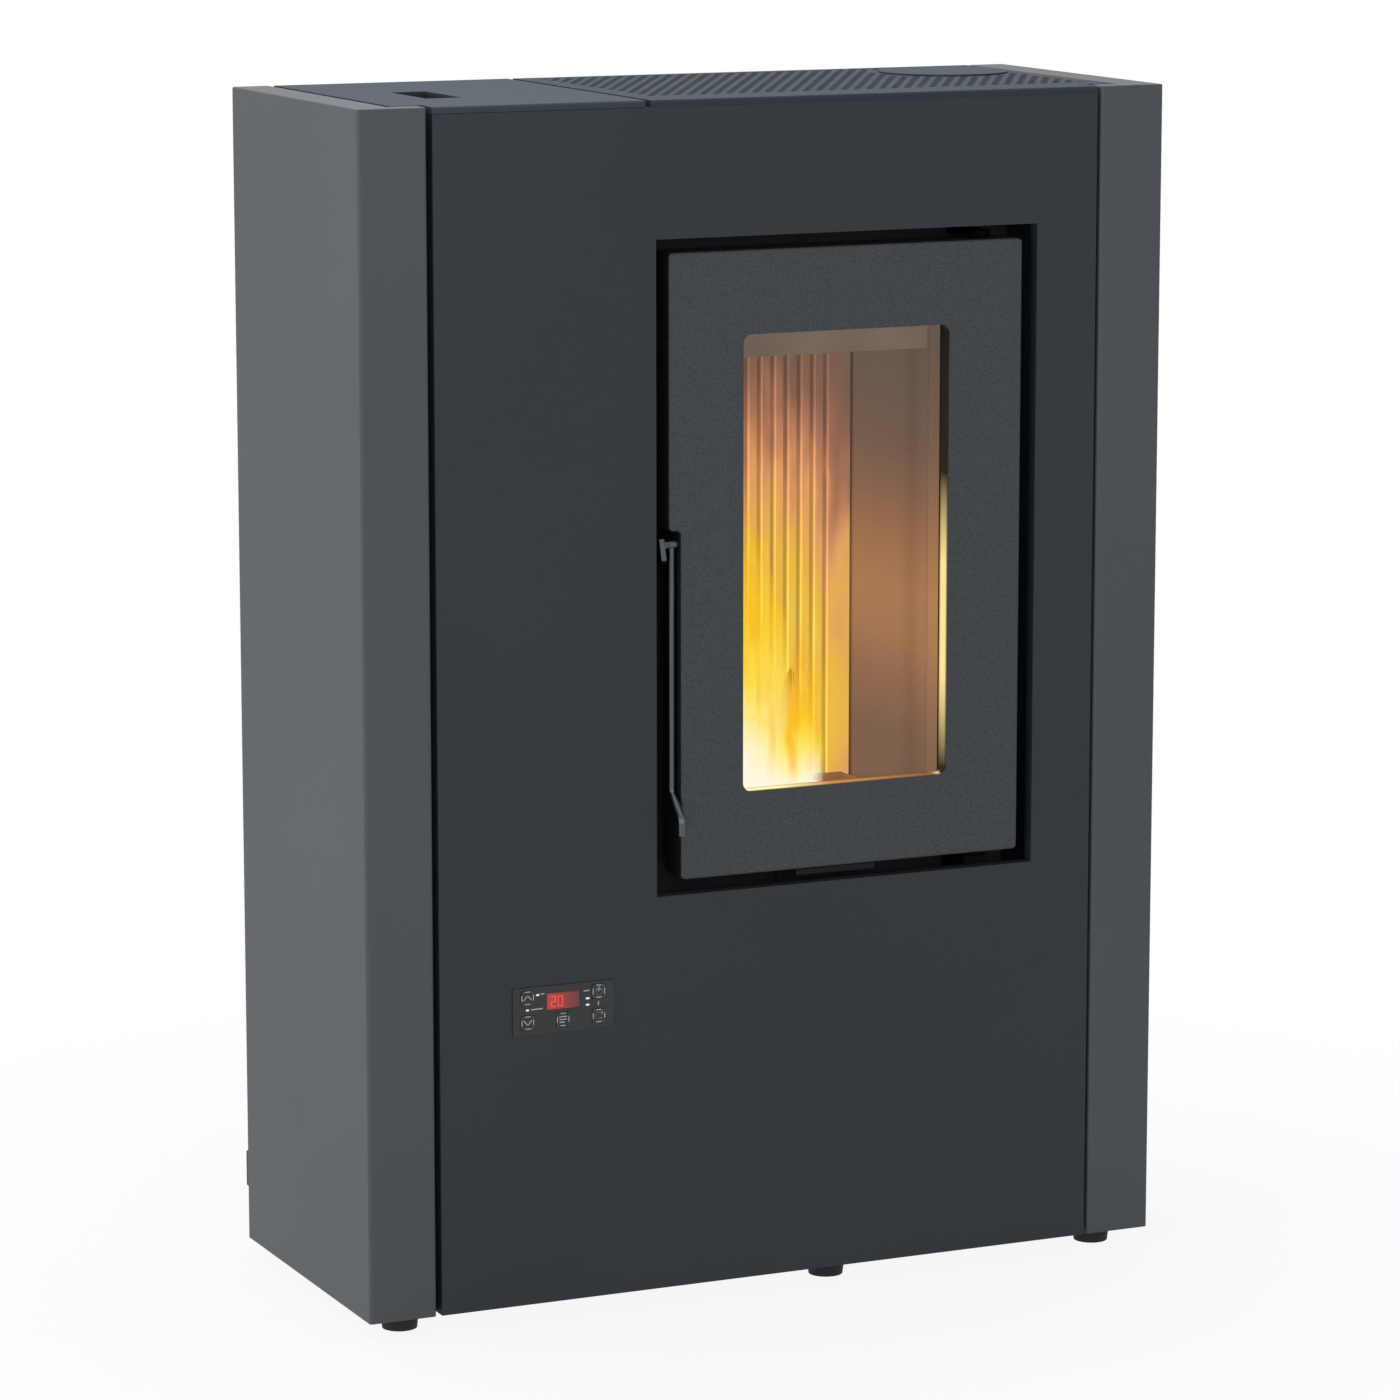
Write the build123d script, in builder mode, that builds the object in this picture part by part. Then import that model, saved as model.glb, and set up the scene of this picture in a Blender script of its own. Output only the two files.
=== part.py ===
from build123d import *
from math import cos, radians, sin
import os

os.makedirs("parts", exist_ok=True)

# A slim free-standing pellet stove, hopper on the left, fire chamber right of the middle.
# All sizes are in millimetres. Positions are measured from the cabinet's left front bottom
# corner: x to the right, y inwards from the front face, z up from the cabinet's lower edge.
# The finished model stands on z = 0 with its origin under the middle of its bounding box.

# ---- cabinet ----
cabinet_width = 745.0
cabinet_depth = 301.0
cabinet_height = 1020.0
foot_height = 16.0
foot_radius = 17.0
foot_taper = 7              # degrees
foot_stud = 4.0
stud_reach = 8.0            # of a foot's stud above the base
right_foot_inset = 38.0
base_flange = 25.0
sheet = 2.0
bend = 3.0
strip_left = 60.4           # front strip folded from the left side panel
strip_right = 61.2
seam_left = 4.9             # dark shadow gap left of the front panel
seam_right = 3.3
shell_flange = 15.0         # rear edge of each side panel, folded behind the cabinet
shell_return = 20.0         # how far the folded edges reach inwards
edge_round = 1.5
return_flange = 18.0
top_flange = 34.0           # strip folded inwards from each side panel on top
top_seam = 4.0              # gap between that strip and the lid or grille
lid_seam = 5.0              # gap between lid and grille, which holds the hinge knuckles
lid_skirt = 5.7
deck_drop = 8.0             # top deck's upper face below the cabinet top
deck_ledge = 12.0           # of the deck left round its warm air hole
skirt_clearance = 0.3
margin = 2.0                # general gap between inner metalwork and the shell

# ---- front opening and door ----
opening_left = cabinet_width * 0.35517
opening_right = cabinet_width * 0.8367
opening_bottom = 344.4
opening_top = cabinet_height - 115.8
opening_return = 12.0
door_left = opening_left + 12.3
door_right = opening_right - 14.4
door_bottom = 357.5
door_top = opening_top - 12.2
door_depth = 34.0
door_plate = 8.0
door_rim = 5.5
door_corner = 4.0
notch_width = 10.9          # the door's left edge steps back beside the handle
notch_top = 657.6
window_left = door_left + 68.3
window_right = door_right - 69.3
window_bottom = 429.0
window_top = door_top - 71.0
window_corner = 8.0
jamb_depth = 16.0
hinge_x = door_right - 31.9
hinge_y = 20.0
hinge_pin_radius = 4.0
running_fit = 0.05
hinge_bracket = 5.0
thrust_washer = 1.2
seat_gap = 0.3
glass_thickness = 4.0
glass_lap = 5.5
gasket_tape = 1.5
rope = 11.0
rope_face = 35.0            # back face of the rope seal

# ---- handle ----
handle_x = door_left + 5.7
handle_y = 10.0
handle_z = 645.4
handle_rod = 7.4
handle_bend_z = 432.0
handle_bend_drop = 20.0
handle_bend_out = 22.0
handle_tip = 13.5
handle_hub = 4.6
handle_pin_radius = 3.0
hook_thickness = 4.5
hook_offset = 8.2           # hook's far face left of the rod
hook_nose = 7.0             # hook's front edge ahead of the pivot
hook_drop = 10.5            # upper face of the hook's beak below the pivot
latch_air = 0.5             # between that face and the striker pin

# ---- fire chamber ----
bulkhead_y = 62.0
bulkhead_sheet = 3.0
bulkhead_flange = 12.0
service_post = 35.0         # bulkhead left standing beside its service window
service_bottom = 60.0
service_top = 290.0
bulkhead_left = opening_left - 6.6
bulkhead_right = opening_right + 2.7
chamber_centre = (window_left + window_right) / 2 + 0.1
chamber_width = window_right - window_left + 23.1   # clear width between the liners
chamber_floor = 370.2
mouth_top = door_top - 37.0
liner = 10.0
steel = 3.0
back_liner_face = cabinet_depth - 82.0
back_liner_thickness = 12.0
rib_pitch = 13.0
rib_width = 7.0
rib_depth = 5.0
smoke_channel = 23.0
mouth_cover = 6.0           # the chamber is this much higher than its mouth
baffle_drop = 51.5          # baffle below the chamber's top
baffle_room = 1.0
baffle_thickness = 4.0
baffle_lip = 16.0           # front lip, which shows at the top of the window
smoke_slot = 14.0           # way up between the baffle and the back liner
pot_width = 94.0
pot_depth = 83.0
pot_height = 50.0
pot_y = 141.0
pot_seat_top = 396.0
pot_wall = 2.5
drawer_side_room = 11.25    # between the drawer and the liners
drawer_height = 24.2
drawer_front = 68.0
drawer_back = back_liner_face - 7.0

# ---- pellet feed ----
hopper_left = 52.0
hopper_right = bulkhead_left - 16.0
hopper_front = 36.0
hopper_back = cabinet_depth - 19.0
hopper_wall = 1.5
hopper_straight = 700.0
funnel_bottom = 585.0
mouth_size = 53.0
feed_x = cabinet_width * 0.2349
feed_y = 150.0
feed_z = 520.0
feed_angle = 30.0
auger_tube_radius = 30.0
auger_tube_wall = 2.5
auger_low = -85.0
auger_setback = 26.76       # end of the auger before the fire chamber
auger_shaft = 6.0
auger_clearance = 1.0
auger_pitch = 30.0
flight_thickness = 3.0
chute_size = 50.0
chute_wall = 2.0
chute_reach = 24.0           # how far the chute reaches past the liner, towards the pot
end_cap = 4.0

# ---- fans and flue ----
smoke_fan_offset = 33.71    # fan axis right of the chamber's inner wall
smoke_fan_top = 300.0
smoke_fan_height = 62.0
smoke_fan_radius = cabinet_depth * 0.2824
smoke_outlet_gap = 4.0      # fan outlet behind the chamber's inner wall
smoke_duct_width = 58.0
flue_radius = 40.0
flue_wall = 1.5
flue_offset = 55.0          # flue axis right of the fan axis
flue_z = 269.0
flue_reach = 45.0           # spigot length behind the rear face
intake_radius = 25.0
intake_wall = 1.5
intake_reach = 30.0
air_box_depth = 56.0
room_fan_y = 215.0
room_fan_z = 90.0
room_rotor_radius = 32.0
room_rotor_length = 220.0
room_fan_offset = 75.0      # rotor's end left of the smoke fan's axis
cover_inset = 64.0          # from the grille's right edge
cover_y = 220.0
cover_radius = 58.0
cover_thickness = 1.5
cover_seat = 6.0            # the cover laps this far over the rim of its hole

# ---- controls ----
panel_left = 130.9
panel_right = 223.5
panel_bottom = 236.0
panel_top = 277.0
panel_proud = 1.2
bezel_lap = 1.5             # of the control panel over the edge of its cut-out
key_size = 12.0
key_travel = 0.4
key_gap = 0.3
key_lip = 1.4              # lip behind the bezel that holds a key in
key_proud = 0.5
screen_width = 30.0
screen_height = 14.0
inlet_depth = 14.0          # how far the mains inlet stands behind the back
switch_throw = 14.0         # degrees
screw_inset = 9.0
screw_radius = 2.0
screw_rows = 5
screw_low = 110.0
screw_top_room = 50.0

# ---- place of the cabinet corner in the finished frame ----
handle_reach = handle_bend_out - handle_y + handle_rod / 2
left = -cabinet_width / 2
front = (handle_reach - cabinet_depth - flue_reach) / 2

# ---- levels and lines worked out from the sizes above ----
fascia_left = strip_left + seam_left
fascia_right = cabinet_width - strip_right - seam_right
lid_left = top_flange + top_seam
lid_right = bulkhead_left - 2.5
lid_top = cabinet_height
grille_left = lid_right + lid_seam
grille_right = cabinet_width - top_flange - top_seam
cover_x = grille_right - cover_inset
cap_back = shell_return + top_seam
deck_top = cabinet_height - deck_drop
fascia_top = lid_top - lid_skirt - skirt_clearance
base_top = bulkhead_sheet
rear_inner = cabinet_depth - sheet
mouth_left = chamber_centre - chamber_width / 2
mouth_right = chamber_centre + chamber_width / 2
chamber_left = mouth_left - liner
chamber_right = mouth_right + liner
chamber_back = back_liner_face + back_liner_thickness + smoke_channel
chamber_front = bulkhead_y + bulkhead_sheet
chamber_top = mouth_top + mouth_cover
baffle_height = chamber_top - baffle_drop
drawer_width = chamber_width - 2 * drawer_side_room
auger_high = (chamber_left - feed_x) / cos(radians(feed_angle)) - auger_setback
smoke_outlet_end = chamber_back + smoke_outlet_gap
smoke_fan_x = chamber_right + smoke_fan_offset
smoke_fan_y = smoke_outlet_end - smoke_fan_radius - steel
flue_x = smoke_fan_x + flue_offset
room_rotor_left = smoke_fan_x - room_fan_offset - room_rotor_length
screw_pitch = (cabinet_height - screw_top_room - screw_low) / (screw_rows - 1)
screw_heights = [screw_low + screw_pitch * row for row in range(screw_rows)]
rope_offset = steel / 2


def level(z):
    """Horizontal plane at height z, its origin above the cabinet's left front corner."""
    return Plane(origin=(left, front, foot_height + z))


def upright(y):
    """Vertical plane parallel to the front at depth y; it looks towards the front."""
    return Plane(origin=(left, front + y, foot_height), x_dir=(1, 0, 0), z_dir=(0, -1, 0))


def sideways(x):
    """Vertical plane parallel to the sides at x; local x is depth and local y is height."""
    return Plane(origin=(left + x, front, foot_height), x_dir=(0, 1, 0), z_dir=(1, 0, 0))


def block(x, y, z, mode=Mode.ADD):
    """Add or cut a rectangular solid that spans the given x, y and z."""
    with BuildSketch(level(z[0])) as outline:
        with Locations(((x[0] + x[1]) / 2, (y[0] + y[1]) / 2)):
            Rectangle(x[1] - x[0], y[1] - y[0])
    extrude(outline.sketch, amount=z[1] - z[0], mode=mode)


def disc(plane, centre, radius, amount, mode=Mode.ADD):
    """Add or cut a round solid that rises from a point of a plane."""
    with BuildSketch(plane) as outline:
        with Locations(centre):
            Circle(radius)
    extrude(outline.sketch, amount=amount, mode=mode)


def prism(plane, points, amount, mode=Mode.ADD):
    """Add or cut a solid with a many-sided outline."""
    with BuildSketch(plane) as outline:
        with BuildLine():
            Polyline(*points, close=True)
        make_face()
    extrude(outline.sketch, amount=amount, mode=mode)


def folded(plane, points, amount, thickness=sheet, radius=bend):
    """Sheet bent along a line of points; the thickness lies left of the line."""
    with BuildSketch(plane) as outline:
        with BuildLine():
            FilletPolyline(*points, radius=radius)
            offset(amount=thickness, side=Side.LEFT)
        make_face()
    extrude(outline.sketch, amount=amount)


def spread(span, amount):
    """A pair of limits moved apart by an amount on each side."""
    return (span[0] - amount, span[1] + amount)


def finish(part, name):
    """Name a finished piece and write it."""
    part.label = name
    export_step(part, f"parts/{name}.step")
    print(f"{name}: {len(part.solids())} solid(s), {part.volume / 1000:.1f} cm3")


# ======================= shell =======================

with BuildPart() as base_plate:
    base_front = shell_return + sheet
    flange_z = (base_top, base_flange)
    block((sheet, cabinet_width - sheet), (base_front, rear_inner - sheet), (0, base_top))
    for edge_x in (sheet, cabinet_width - sheet - bulkhead_sheet):
        block((edge_x, edge_x + bulkhead_sheet), (base_front, rear_inner - sheet), flange_z)
    block((sheet, cabinet_width - sheet), (base_front, base_front + bulkhead_sheet), flange_z)
    foot_xs = (strip_left - foot_radius - bend, chamber_centre, cabinet_width - right_foot_inset)
    foot_ys = (base_front + foot_radius - bend, rear_inner - foot_radius - bend)
    with BuildSketch(level(0)) as foot_holes:
        with Locations(*[(x, y) for x in foot_xs for y in foot_ys]):
            Circle(foot_stud + running_fit)
    extrude(foot_holes.sketch, amount=base_top, mode=Mode.SUBTRACT)
finish(base_plate.part, "base_plate")

with BuildPart() as feet:
    for foot_x in foot_xs:
        for foot_y in foot_ys:
            with BuildSketch(level(0)) as foot_head:
                with Locations((foot_x, foot_y)):
                    Circle(foot_radius)
            extrude(foot_head.sketch, amount=-foot_height, taper=foot_taper)
            disc(level(0), (foot_x, foot_y), foot_stud, base_top + stud_reach)
finish(feet.part, "feet")


def side_shell(strip):
    """Side panel, front strip, rear return and top flange of the left side."""
    folded(
        level(0),
        [
            (shell_flange, cabinet_depth),
            (0, cabinet_depth),
            (0, 0),
            (strip, 0),
            (strip, shell_return),
            (strip + return_flange, shell_return),
        ],
        deck_top,
    )
    # the flange on top and the cap of the front post are level with the lid
    with BuildSketch(level(deck_top)) as top_outline:
        with BuildLine():
            FilletPolyline(
                (top_flange, cabinet_depth),
                (0, cabinet_depth),
                (0, 0),
                (strip, 0),
                (strip, shell_return),
                (top_flange, shell_return),
                radius=bend,
            )
            Line((top_flange, shell_return), (top_flange, cabinet_depth))
        make_face()
    extrude(top_outline.sketch, amount=deck_drop)
    fillet(faces().sort_by(Axis.Z)[-1].outer_wire().edges(), edge_round)
    hollow_z = (deck_top, lid_top - sheet)
    block((sheet, top_flange - sheet), (sheet, rear_inner), hollow_z, Mode.SUBTRACT)
    block((sheet, strip - sheet), (sheet, shell_return - sheet), hollow_z, Mode.SUBTRACT)
    for screw_z in screw_heights:
        disc(
            upright(cabinet_depth),
            (screw_inset, screw_z),
            screw_radius + running_fit,
            sheet,
            Mode.SUBTRACT,
        )


with BuildPart() as left_side_panel:
    side_shell(strip_left)
finish(left_side_panel.part, "left_side_panel")

with BuildPart() as right_side_source:
    side_shell(strip_right)
with BuildPart() as right_side_panel:
    mirror(right_side_source.part, about=Plane.YZ)
finish(right_side_panel.part, "right_side_panel")


with BuildPart() as front_panel:
    block((fascia_left, fascia_right), (0, sheet), (0, fascia_top))
    # the right seam is narrow, so that edge stops short of the strip's inner bend
    right_return = shell_return - bend
    block((fascia_left, fascia_left + sheet), (sheet, shell_return), (0, fascia_top))
    block((fascia_right - sheet, fascia_right), (sheet, right_return), (0, fascia_top))
    for edge_z in (0, fascia_top - sheet):
        block((fascia_left, fascia_right), (sheet, right_return), (edge_z, edge_z + sheet))
    block(
        (opening_left - sheet, opening_right + sheet),
        (0, opening_return),
        (opening_bottom - sheet, opening_top + sheet),
    )
    block(
        (opening_left, opening_right),
        (0, opening_return),
        (opening_bottom, opening_top),
        Mode.SUBTRACT,
    )
    window_x = spread((panel_left, panel_right), -bezel_lap)
    window_z = spread((panel_bottom, panel_top), -bezel_lap)
    block(window_x, (0, sheet), window_z, Mode.SUBTRACT)
finish(front_panel.part, "front_panel")

with BuildPart() as front_bulkhead:
    bulkhead_top = deck_top - sheet
    mouth_x = (mouth_left, mouth_right)
    mouth_z = (chamber_floor, mouth_top)
    bulkhead_y_span = (bulkhead_y, chamber_front)
    block((bulkhead_left, bulkhead_right), bulkhead_y_span, (base_top, bulkhead_top))
    for edge_x in (bulkhead_left, bulkhead_right - sheet):
        flange_y = (chamber_front, chamber_front + bulkhead_flange)
        block((edge_x, edge_x + sheet), flange_y, (base_top, bulkhead_top))
    block(
        (mouth_left - steel, mouth_right + steel),
        (rope_face + seat_gap, bulkhead_y),
        (chamber_floor - steel, mouth_top + steel),
    )
    block(mouth_x, (rope_face, chamber_front), mouth_z, Mode.SUBTRACT)
    service_x = (bulkhead_left + service_post, bulkhead_right - service_post)
    block(service_x, bulkhead_y_span, (service_bottom, service_top), Mode.SUBTRACT)
finish(front_bulkhead.part, "front_bulkhead")

with BuildPart() as rear_panel:
    rear_left = bend + seat_gap
    rear_right = cabinet_width - rear_left
    rear_face = (rear_inner - sheet, rear_inner)
    rear_height = (0, deck_top)
    block((rear_left, rear_right), rear_face, rear_height)
    flue_hole = flue_radius + margin
    intake_x = chamber_centre
    intake_z = chamber_floor - steel - margin * 2 - intake_radius
    disc(upright(rear_inner), (flue_x, flue_z), flue_hole, sheet, Mode.SUBTRACT)
    disc(upright(rear_inner), (intake_x, intake_z), intake_radius + margin, sheet, Mode.SUBTRACT)
    louvre_pitch = 16.0
    louvre_height = 6.0
    louvre_rows = 7
    louvre_share = 0.8          # of the rotor's length
    louvre_z = room_fan_z + 10
    with BuildSketch(upright(rear_inner)) as louvres:
        with Locations((room_rotor_left + room_rotor_length / 2, louvre_z)):
            with GridLocations(0, louvre_pitch, 1, louvre_rows):
                SlotOverall(room_rotor_length * louvre_share, louvre_height)
    extrude(louvres.sketch, amount=sheet, mode=Mode.SUBTRACT)
    inlet_left = 2.8
    inlet_width = 55.0
    inlet_bottom = 45.0
    inlet_top = 76.0
    inlet_lap = 4.0
    switch_room = 24.0
    inlet_cut = (inlet_left + switch_room, inlet_left + inlet_width - inlet_lap)
    inlet_cut_z = spread((inlet_bottom, inlet_top), -inlet_lap)
    block(inlet_cut, rear_face, inlet_cut_z, Mode.SUBTRACT)
    for screw_x in (screw_inset, cabinet_width - screw_inset):
        for screw_z in screw_heights:
            disc(
                upright(rear_inner),
                (screw_x, screw_z),
                screw_radius + running_fit,
                sheet,
                Mode.SUBTRACT,
            )
finish(rear_panel.part, "rear_panel")

with BuildPart() as top_deck:
    deck_under = deck_top - sheet
    deck_x = (2 * sheet, cabinet_width - 2 * sheet)
    block(deck_x, (base_front + margin, rear_face[0]), (deck_under, deck_top))
    tongue_left = strip_left + return_flange + margin * 2
    tongue_right = cabinet_width - strip_right - return_flange - margin * 2
    block((tongue_left, tongue_right), (sheet + margin, base_front + margin), (deck_under, deck_top))
    hopper_mouth = ((hopper_left, hopper_right), (hopper_front, hopper_back))
    warm_air_x = (bulkhead_left + bulkhead_flange + margin, grille_right - deck_ledge)
    warm_air_y = (chamber_front + 2 * margin, rear_inner - deck_ledge)
    block(*hopper_mouth, (deck_under, deck_top), Mode.SUBTRACT)
    block(warm_air_x, warm_air_y, (deck_under, deck_top), Mode.SUBTRACT)
finish(top_deck.part, "top_deck")


def top_piece(side, notch, other, under):
    """Folded lid or grille, its front corner cut back round the cap of a post."""
    way = 1 if other > side else -1
    for inset, top, mode in ((0, lid_top, Mode.ADD), (sheet, lid_top - sheet, Mode.SUBTRACT)):
        side_x = side + way * inset
        notch_x = notch + way * inset
        other_x = other - way * inset
        outline = [
            (side_x, cap_back + inset),
            (notch_x, cap_back + inset),
            (notch_x, seat_gap + inset),
            (other_x, seat_gap + inset),
            (other_x, rear_inner - inset),
            (side_x, rear_inner - inset),
        ]
        prism(level(under), outline, top - under, mode)


with BuildPart() as top_grille:
    top_piece(grille_right, fascia_right, grille_left, fascia_top)
    front_top_edge = top_grille.edges().filter_by(Axis.X).group_by(Axis.Z)[-1].sort_by(Axis.Y)[0]
    fillet(front_top_edge, bend)
    hole_pitch = 12.0
    hole_radius = 3.6
    hole_row = hole_pitch * sin(radians(60))
    field_left = 20.0
    field_front = 50.0
    field_edge = 8.0
    cover_web = 1.0             # least metal between a hole and the flue cover
    field_x = (grille_left + field_left, grille_right - field_edge)
    field_y = (field_front, rear_inner - field_edge)
    columns = int((field_x[1] - field_x[0] - 2 * hole_radius) / hole_pitch)
    rows = int((field_y[1] - field_y[0] - 2 * hole_radius) / hole_row)
    hole_places = []
    for row in range(rows + 1):
        for column in range(columns + 1):
            hole_x = field_x[0] + hole_radius + hole_pitch * (column + 0.5 * (row % 2))
            hole_y = field_y[0] + hole_radius + hole_row * row
            reach = ((hole_x - cover_x) ** 2 + (hole_y - cover_y) ** 2) ** 0.5
            if hole_x + hole_radius < field_x[1] and reach > cover_radius + hole_radius + cover_web:
                hole_places.append((hole_x, hole_y))
    with BuildSketch(level(lid_top)) as perforation:
        with Locations(*hole_places):
            Circle(hole_radius)
    extrude(perforation.sketch, amount=-sheet, mode=Mode.SUBTRACT)
    disc(level(lid_top), (cover_x, cover_y), cover_radius - cover_seat, -sheet, Mode.SUBTRACT)
finish(top_grille.part, "top_grille")

with BuildPart() as flue_cover:
    disc(level(lid_top), (cover_x, cover_y), cover_radius, cover_thickness)
    cover_spigot = cover_radius - cover_seat - running_fit
    disc(level(lid_top), (cover_x, cover_y), cover_spigot, -sheet)
finish(flue_cover.part, "flue_cover")


# ======================= hopper lid and its hinge =======================

hinge_line_x = lid_right + lid_seam / 2
hinge_line_z = lid_top - 2.8
knuckle_radius = 2.2
lid_pin_radius = 1.25
lid_knuckle = 14.0
side_knuckle = 8.0
knuckle_gap = 0.3
leaf_gap = 0.3
lid_hinge_ys = (50.0, 240.0)
tab = 1.6
cup_x = (98.0, 130.0)
cup_y = (96.0, 177.0)
cup_depth = 20.0
cup_wall = 1.0
cup_lip = 4.0               # flange of the cup under the lid


def knuckle(y, length, bore, mode=Mode.ADD):
    """Hinge barrel along the depth, its middle at y."""
    with BuildSketch(upright(y + length / 2)) as outline:
        with Locations((hinge_line_x, hinge_line_z)):
            Circle(knuckle_radius)
            Circle(bore, mode=Mode.SUBTRACT)
    extrude(outline.sketch, amount=length, mode=mode)


with BuildPart() as hopper_lid:
    top_piece(lid_left, fascia_left, lid_right, lid_top - lid_skirt)
    lid_front_edge = hopper_lid.edges().filter_by(Axis.X).group_by(Axis.Z)[-1].sort_by(Axis.Y)[0]
    fillet(lid_front_edge, bend)
    block(cup_x, cup_y, (lid_top - sheet, lid_top), Mode.SUBTRACT)
finish(hopper_lid.part, "hopper_lid")

with BuildPart() as lid_pull_cup:
    cup_outer_x = (cup_x[0] - cup_wall, cup_x[1] + cup_wall)
    cup_outer_y = (cup_y[0] - cup_wall, cup_y[1] + cup_wall)
    cup_top = lid_top - sheet
    block(cup_outer_x, cup_outer_y, (lid_top - cup_depth, cup_top))
    block(spread(cup_x, cup_lip), spread(cup_y, cup_lip), (cup_top - cup_wall, cup_top))
    block(cup_x, cup_y, (lid_top - cup_depth + cup_wall, cup_top), Mode.SUBTRACT)
finish(lid_pull_cup.part, "lid_pull_cup")

with BuildPart() as lid_hinge_leaves:
    for hinge_middle in lid_hinge_ys:
        knuckle(hinge_middle, lid_knuckle, lid_pin_radius + running_fit)
        block(
            (lid_right, hinge_line_x - lid_pin_radius - running_fit - leaf_gap),
            (hinge_middle - lid_knuckle / 2, hinge_middle + lid_knuckle / 2),
            (hinge_line_z - tab / 2, hinge_line_z + tab / 2),
        )
finish(lid_hinge_leaves.part, "lid_hinge_leaves")

with BuildPart() as lid_hinge_pins:
    pin_length = lid_knuckle + 2 * (side_knuckle + knuckle_gap)
    for hinge_middle in lid_hinge_ys:
        disc(
            upright(hinge_middle + pin_length / 2),
            (hinge_line_x, hinge_line_z),
            lid_pin_radius,
            pin_length,
        )
        for side in (-1, 1):
            side_middle = hinge_middle + side * (lid_knuckle / 2 + knuckle_gap + side_knuckle / 2)
            knuckle(side_middle, side_knuckle, lid_pin_radius / 2)
            block(
                (hinge_line_x + lid_pin_radius, grille_left),
                (side_middle - side_knuckle / 2, side_middle + side_knuckle / 2),
                (hinge_line_z - tab / 2, hinge_line_z + tab / 2),
            )
finish(lid_hinge_pins.part, "lid_hinge_pins")

with BuildPart() as hopper_gasket:
    gasket_width = 6.0
    gasket_height = lid_top - sheet - seat_gap - deck_top
    seal_x = (hopper_left - margin, hopper_right + margin)
    seal_y = (hopper_front - margin, hopper_back + margin)
    block(
        (seal_x[0] - gasket_width, seal_x[1] + gasket_width),
        (seal_y[0] - gasket_width, seal_y[1] + gasket_width),
        (deck_top, deck_top + gasket_height),
    )
    block(seal_x, seal_y, (deck_top, deck_top + gasket_height), Mode.SUBTRACT)
finish(hopper_gasket.part, "hopper_gasket")

# ======================= door =======================

rope_x = (mouth_left - rope_offset, mouth_right + rope_offset)
rope_z = (chamber_floor - rope_offset, mouth_top + rope_offset)
channel_wall = 1.5
channel_depth = 6.0
glass_front = jamb_depth + gasket_tape
glass_back = glass_front + glass_thickness
glass_x = (window_left - glass_lap, window_right + glass_lap)
glass_z = (window_bottom - glass_lap - margin, window_top + glass_lap + margin)
glass_room = 1.0            # between the glass edge and its seat
clip_room = 8.0             # the seat is this much wider where the clips stand
door_chamfer = 1.2
boss_half = 9.0
boss_height = 26.0
handle_boss = 16.0
handle_boss_half = 7.0
notch_x = door_left + notch_width


def frame_ring(inner_x, inner_z, outer_x, outer_z, depth, mode=Mode.ADD, corner=0.0):
    """Rectangular ring standing upright between two depths."""
    middle = ((inner_x[0] + inner_x[1]) / 2, (inner_z[0] + inner_z[1]) / 2)
    outer_middle = ((outer_x[0] + outer_x[1]) / 2, (outer_z[0] + outer_z[1]) / 2)
    with BuildSketch(upright(depth[1])) as outline:
        with Locations(outer_middle):
            RectangleRounded(outer_x[1] - outer_x[0], outer_z[1] - outer_z[0], corner + margin)
        with Locations(middle):
            RectangleRounded(
                inner_x[1] - inner_x[0],
                inner_z[1] - inner_z[0],
                max(corner, 0.5),
                mode=Mode.SUBTRACT,
            )
    extrude(outline.sketch, amount=depth[1] - depth[0], mode=mode)


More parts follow.
